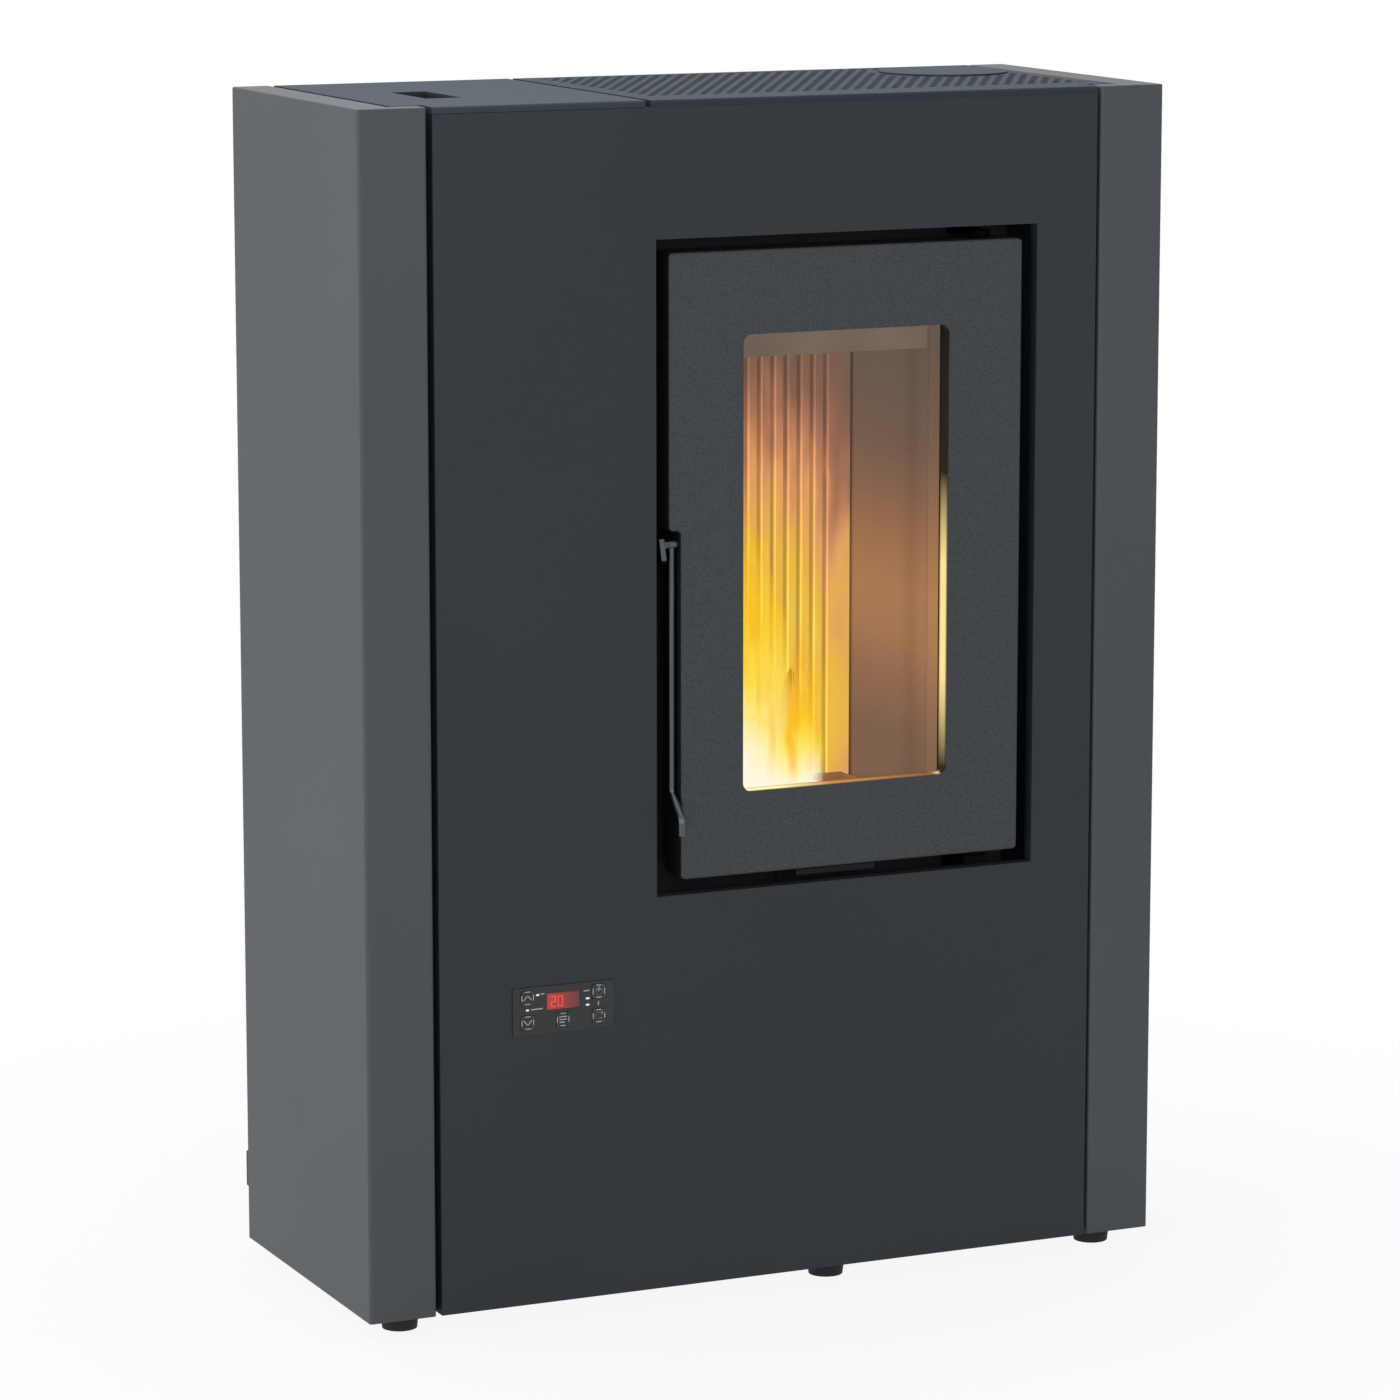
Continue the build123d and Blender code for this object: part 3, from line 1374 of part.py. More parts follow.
with BuildPart() as smoke_fan_housing:
    outlet_x = (smoke_fan_x + fan_outlet_offset, smoke_fan_x + smoke_fan_radius)
    disc(
        level(smoke_fan_z[0]),
        (smoke_fan_x, smoke_fan_y),
        smoke_fan_radius,
        smoke_fan_height,
    )
    block(outlet_x, (smoke_fan_y, smoke_outlet_end), smoke_fan_z)
    disc(
        level(smoke_fan_z[0] + duct_wall),
        (smoke_fan_x, smoke_fan_y),
        smoke_fan_radius - duct_wall,
        smoke_fan_height - 2 * duct_wall,
        Mode.SUBTRACT,
    )
    block(
        spread(outlet_x, -duct_wall),
        (smoke_fan_y, smoke_outlet_end),
        spread(smoke_fan_z, -duct_wall),
        Mode.SUBTRACT,
    )
    disc(
        level(smoke_fan_z[1] - duct_wall),
        (smoke_fan_x, smoke_fan_y),
        eye_radius,
        duct_wall,
        Mode.SUBTRACT,
    )
    disc(
        level(smoke_fan_z[0]),
        (smoke_fan_x, smoke_fan_y),
        motor_spindle + seat_gap,
        duct_wall,
        Mode.SUBTRACT,
    )
finish(smoke_fan_housing.part, "smoke_fan_housing")

with BuildPart() as smoke_fan_impeller:
    wheel_radius = smoke_fan_radius - 17
    wheel_z = smoke_fan_z[0] + 8
    wheel_hub = 12.0
    wheel_sheet = 2.0
    blade_height = 38.0
    blade_count = 10
    blade_inner = wheel_radius * 0.22
    blade_length = wheel_radius - margin - blade_inner
    disc(level(wheel_z), (smoke_fan_x, smoke_fan_y), wheel_radius, wheel_sheet)
    disc(level(wheel_z), (smoke_fan_x, smoke_fan_y), wheel_hub, blade_height / 2)
    with BuildSketch(level(wheel_z)) as fan_blades:
        with Locations((smoke_fan_x, smoke_fan_y)):
            with PolarLocations(blade_inner + blade_length / 2, blade_count):
                Rectangle(blade_length, wheel_sheet)
    extrude(fan_blades.sketch, amount=blade_height)
    disc(
        level(wheel_z),
        (smoke_fan_x, smoke_fan_y),
        motor_spindle,
        -(wheel_z - smoke_fan_z[0] + smoke_shaft),
    )
finish(smoke_fan_impeller.part, "smoke_fan_impeller")

with BuildPart() as smoke_fan_motor:
    smoke_motor_flange = 40.0
    smoke_motor_radius = 32.0
    smoke_motor_length = 50.0
    smoke_cap_radius = 14.0
    smoke_cap_length = 12.0
    motor_top = smoke_fan_z[0] - duct_wall
    motor_low = motor_top - smoke_motor_length
    disc(level(smoke_fan_z[0]), (smoke_fan_x, smoke_fan_y), smoke_motor_flange, -duct_wall)
    disc(level(motor_top), (smoke_fan_x, smoke_fan_y), smoke_motor_radius, -smoke_motor_length)
    disc(level(motor_low), (smoke_fan_x, smoke_fan_y), smoke_cap_radius, -smoke_cap_length)
    disc(
        level(smoke_fan_z[0]),
        (smoke_fan_x, smoke_fan_y),
        motor_spindle + running_fit,
        -(smoke_shaft + seat_gap),
        Mode.SUBTRACT,
    )
finish(smoke_fan_motor.part, "smoke_fan_motor")

with BuildPart() as flue_outlet:
    flue_box_depth = 27.0
    box_half = flue_radius + eye_rim
    flue_box_y = (smoke_outlet_end, smoke_outlet_end + flue_box_depth)
    flue_box_x = (flue_x - box_half, flue_x + box_half)
    flue_box_z = (flue_z - box_half, flue_z + box_half)
    block(flue_box_x, flue_box_y, flue_box_z)
    block(
        spread(flue_box_x, -duct_wall),
        spread(flue_box_y, -duct_wall),
        spread(flue_box_z, -duct_wall),
        Mode.SUBTRACT,
    )
    block(
        spread(outlet_x, -duct_wall),
        (smoke_outlet_end, smoke_outlet_end + duct_wall),
        spread(smoke_fan_z, -duct_wall),
        Mode.SUBTRACT,
    )
    spigot_end = cabinet_depth + flue_reach
    disc(
        upright(spigot_end),
        (flue_x, flue_z),
        flue_radius,
        spigot_end - flue_box_y[1] + duct_wall,
    )
    disc(
        upright(spigot_end),
        (flue_x, flue_z),
        flue_radius - flue_wall,
        spigot_end - flue_box_y[1] + duct_wall,
        Mode.SUBTRACT,
    )
finish(flue_outlet.part, "flue_outlet")

# ======================= room fan =======================

plate_thickness = 2.0
scroll_y = (room_fan_y - 45, room_fan_y + 47)
scroll_bottom = room_fan_z - 42
scroll_top = room_fan_z + 110
scroll_gap = 4.0
scroll_left = room_rotor_left - scroll_gap
scroll_right = room_rotor_left + room_rotor_length + scroll_gap
channel_front = room_fan_y + 14
room_shaft = 14.0           # end of the shaft inside the motor

with BuildPart() as room_fan_housing:
    folded(
        sideways(scroll_left),
        [
            (scroll_y[0] + 12, scroll_bottom),
            (scroll_y[1], scroll_bottom),
            (scroll_y[1], scroll_top),
        ],
        scroll_right - scroll_left,
        thickness=plate_thickness,
        radius=34,
    )
    folded(
        sideways(scroll_left),
        [
            (channel_front - 12, room_fan_z + 34),
            (channel_front, room_fan_z + 44),
            (channel_front, scroll_top),
        ],
        scroll_right - scroll_left,
        thickness=plate_thickness,
        radius=6,
    )
    for plate_at in (scroll_left - plate_thickness, scroll_right):
        plate_x = (plate_at, plate_at + plate_thickness)
        block(plate_x, scroll_y, (base_top, scroll_top))
        disc(
            sideways(plate_at),
            (room_fan_y, room_fan_z),
            motor_spindle + running_fit,
            plate_thickness,
            Mode.SUBTRACT,
        )
finish(room_fan_housing.part, "room_fan_housing")

with BuildPart() as room_fan_rotor:
    disc(
        sideways(scroll_left - plate_thickness - room_shaft),
        (room_fan_y, room_fan_z),
        motor_spindle,
        scroll_right - scroll_left + 2 * plate_thickness + margin + room_shaft,
    )
    rotor_blade_count = 20
    rotor_blade_width = 7.0
    rotor_blade_sheet = 1.2
    rotor_blade_turn = 35
    for share in (0, 0.5, 1):
        disc(
            sideways(room_rotor_left + share * (room_rotor_length - sheet)),
            (room_fan_y, room_fan_z),
            room_rotor_radius,
            sheet,
        )
    with BuildSketch(sideways(room_rotor_left)) as rotor_blades:
        with Locations((room_fan_y, room_fan_z)):
            with PolarLocations(room_rotor_radius - rotor_blade_width, rotor_blade_count):
                Rectangle(rotor_blade_width, rotor_blade_sheet, rotation=rotor_blade_turn)
    extrude(rotor_blades.sketch, amount=room_rotor_length)
finish(room_fan_rotor.part, "room_fan_rotor")

with BuildPart() as room_fan_motor:
    room_motor_radius = 28.0
    room_motor_length = 44.0
    room_cap_radius = 10.0
    room_cap_length = 8.0
    room_motor_right = scroll_left - plate_thickness
    room_motor_left = room_motor_right - room_motor_length
    axis_place = (room_fan_y, room_fan_z)
    disc(sideways(room_motor_left), axis_place, room_motor_radius, room_motor_length)
    disc(sideways(room_motor_left), axis_place, room_cap_radius, -room_cap_length)
    disc(
        sideways(room_motor_right - room_shaft - seat_gap),
        axis_place,
        motor_spindle + running_fit,
        room_shaft + seat_gap,
        Mode.SUBTRACT,
    )
finish(room_fan_motor.part, "room_fan_motor")

# ======================= controls =======================

key_places = {
    "key_up": (144.4, 268.4),
    "key_down": (144.4, 247.0),
    "key_set": (176.8, 247.0),
    "key_power": (209.8, 268.4),
    "key_mode": (209.8, 247.0),
}
screen_place = (177.4, 263.3)
board_y = 4.0
board_thickness = 1.6
board_inset = 3.0
board_x = spread((panel_left, panel_right), -board_inset)
board_z = spread((panel_bottom, panel_top), -board_inset)
post_places = [(157.5, 243.5), (157.5, 269.5), (197.5, 243.5), (197.5, 269.5)]
post_radius = 2.0
key_corner = 1.0
screen_inset = 0.2          # screen behind the bezel's face
key_flange = 1.0            # lip of a key behind the bezel


def panel_rect(centre, width, height, y, depth, mode=Mode.ADD):
    """Rectangular solid parallel to the front, from depth y towards the front."""
    with BuildSketch(upright(y)) as outline:
        with Locations(centre):
            RectangleRounded(width, height, key_corner)
    extrude(outline.sketch, amount=depth, mode=mode)


with BuildPart() as display_bezel:
    block((panel_left, panel_right), (-panel_proud, 0), (panel_bottom, panel_top))
    for post_place in post_places:
        disc(upright(board_y), post_place, post_radius, board_y)
    for key_place in key_places.values():
        hole_size = key_size + 2 * key_gap
        panel_rect(key_place, hole_size, hole_size, 0, panel_proud, Mode.SUBTRACT)
    panel_rect(
        screen_place,
        screen_width + 2 * seat_gap,
        screen_height + 2 * seat_gap,
        0,
        panel_proud,
        Mode.SUBTRACT,
    )
finish(display_bezel.part, "display_bezel")

with BuildPart() as display_screen:
    screen_depth = board_y + panel_proud - screen_inset
    panel_rect(screen_place, screen_width, screen_height, board_y, screen_depth)
finish(display_screen.part, "display_screen")

for key_name, key_place in key_places.items():
    with BuildPart() as key:
        key_back = board_y - key_travel - seat_gap
        panel_rect(key_place, key_size, key_size, key_back, key_back + panel_proud + key_proud)
        flange_size = (key_size + 2 * key_flange, key_size - key_flange)
        panel_rect(key_place, *flange_size, key_lip + key_gap, key_lip)
    finish(key.part, key_name)

with BuildPart() as control_board:
    driver_height = 7.0
    driver_inset_x = 12.0
    driver_inset_z = 5.0
    board_back = board_y + board_thickness
    block(board_x, (board_y, board_back), board_z)
    block(
        spread(board_x, -driver_inset_x),
        (board_back, board_back + driver_height),
        spread(board_z, -driver_inset_z),
    )
finish(control_board.part, "control_board")

with BuildPart() as main_board:
    main_x = (80.0, 210.0)
    main_y = (90.0, 180.0)
    standoff = 8.0
    standoff_radius = 3.0
    standoff_inset = 8.0
    main_z = base_top + standoff
    parts_top = main_z + board_thickness
    block(main_x, main_y, (main_z, parts_top))
    for post_x in spread(main_x, -standoff_inset):
        for post_y in spread(main_y, -standoff_inset):
            disc(level(base_top), (post_x, post_y), standoff_radius, standoff)
    transformer = ((105, 115), (34, 28, 26))
    relays = [((x, y), (18, 15, 15)) for x in (150, 174) for y in (112, 138)]
    terminals = ((145, 168), (90, 11, 12))
    capacitor = ((102, 148), (22, 22, 9))
    for middle, size in (transformer, *relays, terminals, capacitor):
        block(
            spread((middle[0], middle[0]), size[0] / 2),
            spread((middle[1], middle[1]), size[1] / 2),
            (parts_top, parts_top + size[2]),
        )
finish(main_board.part, "main_board")

# ======================= mains inlet and sensors =======================

with BuildPart() as power_inlet:
    inlet_right = inlet_left + inlet_width
    inlet_face = cabinet_depth + inlet_depth
    block((inlet_left, inlet_right), (cabinet_depth, inlet_face), (inlet_bottom, inlet_top))
    end_edges = power_inlet.edges().filter_by(Axis.Z).group_by(Axis.Y)[-1]
    chamfer(end_edges, inlet_lap)
    block(
        (shell_flange + seat_gap, inlet_right),
        (rear_inner, cabinet_depth),
        (inlet_bottom, inlet_top),
    )
    inlet_fit = 0.2
    inlet_back = 28.0           # reach of the inlet's body inside the cabinet
    socket_back = 18.0
    body_x = spread(inlet_cut, -inlet_fit)
    body_z = spread(inlet_cut_z, -inlet_fit)
    block(body_x, (cabinet_depth - inlet_back, cabinet_depth), body_z)
    socket_x = spread(body_x, -duct_wall)
    socket_z = spread(body_z, -duct_wall)
    socket_y = (cabinet_depth - socket_back, inlet_face)
    block(socket_x, socket_y, socket_z, Mode.SUBTRACT)
    socket_middle = ((socket_x[0] + socket_x[1]) / 2, (socket_z[0] + socket_z[1]) / 2)
    for pin_x, pin_z in ((-7, -2), (7, -2), (0, 2)):
        blade_x = spread((socket_middle[0] + pin_x,) * 2, 1)
        blade_z = spread((socket_middle[1] + pin_z,) * 2, 2)
        block(blade_x, (socket_y[0], cabinet_depth), blade_z)
    switch_inset = 5.0
    pivot_radius = 1.5
    pivot_hole = 2.0            # depth of the pivot's hole in each cheek
    switch_x = (inlet_left + 4.5, inlet_left + 19.5)
    switch_z = spread((inlet_bottom, inlet_top), -switch_inset)
    block(switch_x, (cabinet_depth + sheet, inlet_face), switch_z, Mode.SUBTRACT)
    switch_axis = (inlet_face - switch_inset, (inlet_bottom + inlet_top) / 2)
    disc(
        sideways(switch_x[0] - pivot_hole),
        switch_axis,
        pivot_radius + running_fit,
        switch_x[1] - switch_x[0] + 2 * pivot_hole,
        Mode.SUBTRACT,
    )
finish(power_inlet.part, "power_inlet")

with BuildPart() as power_switch:
    rocker_gap = 0.4
    pivot_length = pivot_hole - inlet_fit
    rocker_x = spread(switch_x, -rocker_gap)
    rocker_tilt = radians(-switch_throw / 2)
    rocker_outline = []
    for along, outward in ((-9, 6.5), (0, 4.8), (9, 6.5), (9, 1), (3, -5), (-3, -5), (-9, 1)):
        turned_y = outward * cos(rocker_tilt) - along * sin(rocker_tilt)
        turned_z = outward * sin(rocker_tilt) + along * cos(rocker_tilt)
        rocker_outline.append((switch_axis[0] + turned_y, switch_axis[1] + turned_z))
    prism(sideways(rocker_x[0]), rocker_outline, rocker_x[1] - rocker_x[0])
    disc(
        sideways(switch_x[0] - pivot_length),
        switch_axis,
        pivot_radius,
        switch_x[1] - switch_x[0] + 2 * pivot_length,
    )
finish(power_switch.part, "power_switch")

with BuildPart() as pressure_switch:
    capsule_place = (duct_front + 36.0, 470.0)
    capsule_radius = 24.0
    capsule_thickness = 20.0
    nipple_radius = 3.0
    nipple_length = 14.0
    nipple_x = duct_right + capsule_thickness
    disc(sideways(duct_right), capsule_place, capsule_radius, capsule_thickness)
    disc(sideways(nipple_x), capsule_place, nipple_radius, nipple_length)
finish(pressure_switch.part, "pressure_switch")

# ======================= fasteners =======================

with BuildPart() as panel_screws:
    screw_head_radius = 4.0
    screw_head_height = 2.0
    screw_length = 8.0
    for screw_x in (screw_inset, cabinet_width - screw_inset):
        for screw_z in screw_heights:
            screw_place = (screw_x, screw_z)
            head_face = upright(cabinet_depth + screw_head_height)
            disc(head_face, screw_place, screw_head_radius, screw_head_height)
            disc(upright(cabinet_depth), screw_place, screw_radius, screw_length)
finish(panel_screws.part, "panel_screws")
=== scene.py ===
# %% [markdown]
# # A slim pellet stove
# This file dresses a pellet stove whose metalwork already exists as a fixed frame. Every
# plate, hinge and duct comes in with the frame and only needs its finish. What we add here is
# what sheet metal drawings never show: the fire, the glowing bed, the pellets in the hopper,
# the marks on the keys and the lit display.
# We load the frame first and measure it, because nothing we add may reach outside its box.

# %% Load the frame and measure it
import math
import random

import bpy
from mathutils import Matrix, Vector


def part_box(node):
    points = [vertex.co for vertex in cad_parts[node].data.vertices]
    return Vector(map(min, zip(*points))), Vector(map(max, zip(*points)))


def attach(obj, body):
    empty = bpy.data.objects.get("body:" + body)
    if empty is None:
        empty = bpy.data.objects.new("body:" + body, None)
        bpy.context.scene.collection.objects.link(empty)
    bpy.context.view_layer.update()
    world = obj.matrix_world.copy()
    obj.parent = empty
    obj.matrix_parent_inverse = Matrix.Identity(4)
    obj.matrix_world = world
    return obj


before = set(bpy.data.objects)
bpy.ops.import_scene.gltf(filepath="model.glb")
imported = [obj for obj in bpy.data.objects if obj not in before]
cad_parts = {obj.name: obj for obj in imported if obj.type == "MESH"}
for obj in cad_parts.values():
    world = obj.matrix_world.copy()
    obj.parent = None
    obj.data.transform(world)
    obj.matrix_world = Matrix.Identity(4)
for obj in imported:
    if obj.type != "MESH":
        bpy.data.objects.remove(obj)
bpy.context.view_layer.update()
print("pieces in the frame:", len(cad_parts))

# %% [markdown]
# ## Where things are
# Builders of stoves measure from the cabinet's lower left front corner, in millimetres. The
# frame is in metres round the middle of the stove. One small function turns the first into
# the second, so that every size below can be read as a stove builder would say it.

# %% Workshop millimetres to frame metres
front_corner = Vector((-0.3725, -0.16515, 0.016))


def at(x, y, z):
    """Point in the frame for x to the right, y inwards and z up, in mm from the corner."""
    return front_corner + Vector((x, y, z)) / 1000


print("burn pot middle:", tuple(round(v, 3) for v in at(442.5, 141, 396)))

# %% [markdown]
# ## Colours and nodes
# Colours are written as sRGB hex values, as a paint card or a colour picker gives them. The
# renderer works in linear light, so one function converts them. A second small function adds
# any shader node with its settings and its links, and a few more build on it: a colour ramp,
# a range, a product, a relief. They keep every material below readable.


# %% Small tools for materials
def tone(hex_code):
    """Linear colour of an sRGB hex value such as 35393C."""
    parts = [int(hex_code[i : i + 2], 16) / 255 for i in (0, 2, 4)]
    return [p / 12.92 if p <= 0.04045 else ((p + 0.055) / 1.055) ** 2.4 for p in parts] + [1]


def node(tree, kind, feeds=None, **settings):
    """Add a shader node; feeds are input values or sockets to link."""
    made = tree.nodes.new("ShaderNode" + kind)
    for name, value in settings.items():
        setattr(made, name, value)
    for name, value in (feeds or {}).items():
        if isinstance(value, bpy.types.NodeSocket):
            tree.links.new(value, made.inputs[name])
        else:
            made.inputs[name].default_value = value
    return made


def new_finish(name, **constants):
    """An empty material with a principled shader; returns it, its tree and the shader."""
    material = bpy.data.materials.new(name)
    material.use_nodes = True
    tree = material.node_tree
    shader = tree.nodes["Principled BSDF"]
    for socket, value in constants.items():
        shader.inputs[socket.replace("_", " ")].default_value = value
    return material, tree, shader


def ramp(tree, value, *stops):
    """Colour that follows a value through stops of position and sRGB hex, lowest first."""
    made = node(tree, "ValToRGB", {"Fac": value})
    steps = made.color_ramp.elements
    for count, (position, card) in enumerate(stops):
        step = steps[count] if count < 2 else steps.new(position)
        step.position = position
        step.color = tone(card)
    return made.outputs[0]


def scaled(tree, colour, share):
    """A colour made brighter or darker by a value."""
    return node(tree, "VectorMath", {0: colour, "Scale": share}, operation="SCALE").outputs[0]


def object_place(tree):
    """Place on the piece in metres."""
    return node(tree, "TexCoord").outputs["Object"]


def noise(tree, place, per_metre, detail=2.0, **more):
    """Value of a soft noise with this many grains in a metre."""
    feeds = {"Vector": place, "Scale": per_metre, "Detail": detail, **more}
    return node(tree, "TexNoise", feeds).outputs["Fac"]


def span(tree, value, low, high, start=0.0, end=1.0):
    """A value that runs from start to end while its input runs from low to high."""
    return node(tree, "MapRange", {"Value": value, "From Min": low, "From Max": high,
                                   "To Min": start, "To Max": end}).outputs[0]


def product(tree, *factors):
    """Several shader values multiplied together."""
    total = factors[0]
    for factor in factors[1:]:
        total = node(tree, "Math", {0: total, 1: factor}, operation="MULTIPLY").outputs[0]
    return total


def inside(tree, value, low, high, soft=0.0004):
    """1 between two places in metres and 0 elsewhere, with a soft step at both ends."""
    enter = span(tree, value, low - soft, low + soft)
    leave = span(tree, value, high - soft, high + soft, 1.0, 0.0)
    return product(tree, enter, leave)


def emboss(tree, shader, height, strength, metres):
    """Let a value stand out from the surface by up to this many metres."""
    relief = node(tree, "Bump", {"Height": height, "Strength": strength, "Distance": metres})
    tree.links.new(relief.outputs[0], shader.inputs["Normal"])


print("tone of 808080:", [round(v, 3) for v in tone("808080")])

# %% [markdown]
# ## The camera
# The stove is photographed from its left, a little above its top, with a long lens that keeps
# the cabinet's edges almost parallel. The camera's place was worked out from the corners of
# the cabinet, the door and the feet. A camera that looks down makes upright edges lean
# together by a hair. A level one with a shifted lens would not, but every other view of the
# stove would then fall out of the picture, so this one is tilted.

# %% Camera
view_yaw = math.radians(24.455)
view_pitch = math.radians(10.173)
lens_mm = 142.65
film_mm = 36
camera = bpy.data.objects.new("camera", bpy.data.cameras.new("camera"))
bpy.context.collection.objects.link(camera)
camera.data.lens = lens_mm
camera.data.sensor_width = film_mm
camera.data.clip_end = 60
camera.location = (-1.9843, -4.3796, 1.3587)
camera.rotation_euler = (math.pi / 2 - view_pitch, 0, -view_yaw)
bpy.context.scene.camera = camera
print("camera is", round((camera.location - at(372, 150, 500)).length, 2), "m away")

# %% [markdown]
# ## Floor, backdrop and light
# A catalogue studio is a pale sweep with big soft lamps. The floor answers the camera, mirrors
# and glass with plain white. Near the stove a tenth of it still takes light, so that the soft
# shadow under the cabinet stays, and further out it is all white, like paper that curves up
# behind. One lamp stands low on the left, where the cabinet is lightest towards its foot, one
# in front, and the strongest hangs overhead.

# %% Floor and backdrop
scene = bpy.context.scene
scene.view_settings.view_transform = "Standard"
near_stove, far_from_stove = 0.3, 1.1
white_share_near = 0.89
floor_reach = 9


def seen_as_white(tree):
    """1 for rays that come straight, by a mirror or through glass to the camera."""
    rays = node(tree, "LightPath").outputs
    seen = node(tree, "Math", {0: rays["Is Camera Ray"], 1: rays["Is Glossy Ray"]},
                operation="MAXIMUM").outputs[0]
    return node(tree, "Math", {0: seen, 1: rays["Is Transmission Ray"]},
                operation="MAXIMUM").outputs[0]


backdrop, tree, shader = new_finish("pale_studio_paper", Roughness=0.9)
shader.inputs["Base Color"].default_value = tone("F2F2F2")
shader.inputs["Specular IOR Level"].default_value = 0.1
away = node(tree, "VectorMath", {0: object_place(tree)}, operation="LENGTH").outputs["Value"]
paler = span(tree, away, near_stove, far_from_stove, white_share_near, 1.0)
share = product(tree, seen_as_white(tree), paler)
white = node(tree, "Emission", {"Color": (1, 1, 1, 1), "Strength": 1.0})
paper = node(tree, "MixShader", {0: share, 1: shader.outputs[0], 2: white.outputs[0]})
tree.links.new(paper.outputs[0], tree.nodes["Material Output"].inputs["Surface"])

floor_mesh = bpy.data.meshes.new("studio_floor")
floor_corners = [
    (side * floor_reach, depth * floor_reach, 0)
    for side, depth in ((-1, -1), (1, -1), (1, 1), (-1, 1))
]
floor_mesh.from_pydata(floor_corners, [], [(0, 1, 2, 3)])
floor = bpy.data.objects.new("studio_floor", floor_mesh)
bpy.context.collection.objects.link(floor)
floor_mesh.materials.append(backdrop)

world = bpy.data.worlds.new("studio_air")
scene.world = world
world.use_nodes = True
air = world.node_tree
air.nodes.clear()
seen = seen_as_white(air)
soft = node(air, "Background", {"Color": tone("E6E9EE"), "Strength": 0.3})
plain = node(air, "Background", {"Color": (1, 1, 1, 1), "Strength": 1.0})
choice = node(air, "MixShader", {0: seen, 1: soft.outputs[0], 2: plain.outputs[0]})
node(air, "OutputWorld", {"Surface": choice.outputs[0]})
print("floor and backdrop ready")


# %% Lamps
def panel_lamp(name, place, target, size, power, hue="FFFFFF"):
    """A square softbox that looks at a point."""
    lamp = bpy.data.lights.new(name, "AREA")
    lamp.shape = "SQUARE"
    lamp.size = size
    lamp.energy = power
    lamp.color = tone(hue)[:3]
    holder = bpy.data.objects.new(name, lamp)
    bpy.context.collection.objects.link(holder)
    holder.location = place
    holder.rotation_euler = (Vector(target) - Vector(place)).to_track_quat("-Z", "Y").to_euler()
    return holder


stove_middle = at(372, 150, 520)
panel_lamp("left_softbox", (-3.6, -0.6, 1.0), stove_middle, 2.6, 40)
panel_lamp("front_softbox", (-0.6, -4.4, 2.0), stove_middle, 2.4, 46)
panel_lamp("top_softbox", (-0.4, 0.6, 3.4), stove_middle, 2.4, 56, "F4F8FF")

# %% [markdown]
# ## Powder coat
# The cabinet is sheet steel with a baked polyester powder coat. Powder flows out into a very
# fine orange peel with a half-matt sheen, typical IOR 1.5 and roughness about 0.5. Its grains
# are 0.3 to 0.6 mm, too fine to show from five metres away, so they are drawn at 1.5 mm with
# little height. A second, slow variation keeps a metre of paint from looking like paper. The
# grille wears the lid's colour a shade darker, because its many holes swallow light. The
# hinge brackets and the handle's pin hide in the gap round the door, under a flat black so deep
# that it also stands as painted shade of that gap.


# %% Powder coat finishes
grain_mm = 1.5
grain_height = 0.00004
cloud = 0.05


def powder_coat(name, card, roughness, mirror):
    """Baked polyester powder on steel, from its colour card value."""
    material, tree, shader = new_finish(name, Roughness=roughness, IOR=1.5)
    shader.inputs["Specular IOR Level"].default_value = mirror
    place = object_place(tree)
    slow = noise(tree, place, 3.0)
    spread = span(tree, slow, 0.3, 0.7, 1 - cloud, 1 + cloud)
    tree.links.new(scaled(tree, tone(card)[:3], spread), shader.inputs["Base Color"])
    grain = noise(tree, place, 1000 / grain_mm, 3.0)
    emboss(tree, shader, grain, 0.5, grain_height)
    return material


anthracite_coat = powder_coat("anthracite_powder_coat", "2F343A", 0.45, 0.25)
grey_coat = powder_coat("grey_powder_coat", "53575B", 0.5, 0.25)
top_coat = powder_coat("slate_powder_coat", "414A52", 0.6, 0.08)
grille_coat = powder_coat("slate_powder_coat_on_perforated_sheet", "394249", 0.6, 0.08)
# Near black: the hardware's own black paint plus painted shade of the gap round the door.
black_coat_and_painted_gap_shade = powder_coat("matt_black_powder_coat_and_painted_gap_shade", "060606", 0.8, 0.05)
print("powder coats:", anthracite_coat.name, grey_coat.name, top_coat.name, black_coat_and_painted_gap_shade.name)

# %% [markdown]
# ## Cast door paint
# The fire door is grey cast iron under a matt high-temperature silicone paint. Sand casting
# leaves grains of 1 to 2 mm that the thin paint doesn't hide, and light catches on their tips.
# We use noise for the height and let the highest tips be a shade lighter.
# Only the face is painted grey: the casting's flanks, set back in the shaded gap round the
# door, carry painted shade in near black. The inner edge of the window also catches the fire's
# own light. The sill fades from yellow beside the flames to brown, and the right jamb, which
# looks straight at them, is brightest half way up.

# %% Cast door paint
face_depth, flank_depth = 1.3, 2.2
glow_front, glow_back = 3, 15
cast_paint, tree, shader = new_finish("cast_iron_silicone_paint", Roughness=0.62, IOR=1.5)
place = object_place(tree)
sand = noise(tree, place, 520.0, 3.0, Roughness=0.6)
tips = ramp(tree, sand, (0.36, "24292D"), (0.74, "42474D"))
spot = node(tree, "SeparateXYZ", {"Vector": place}).outputs
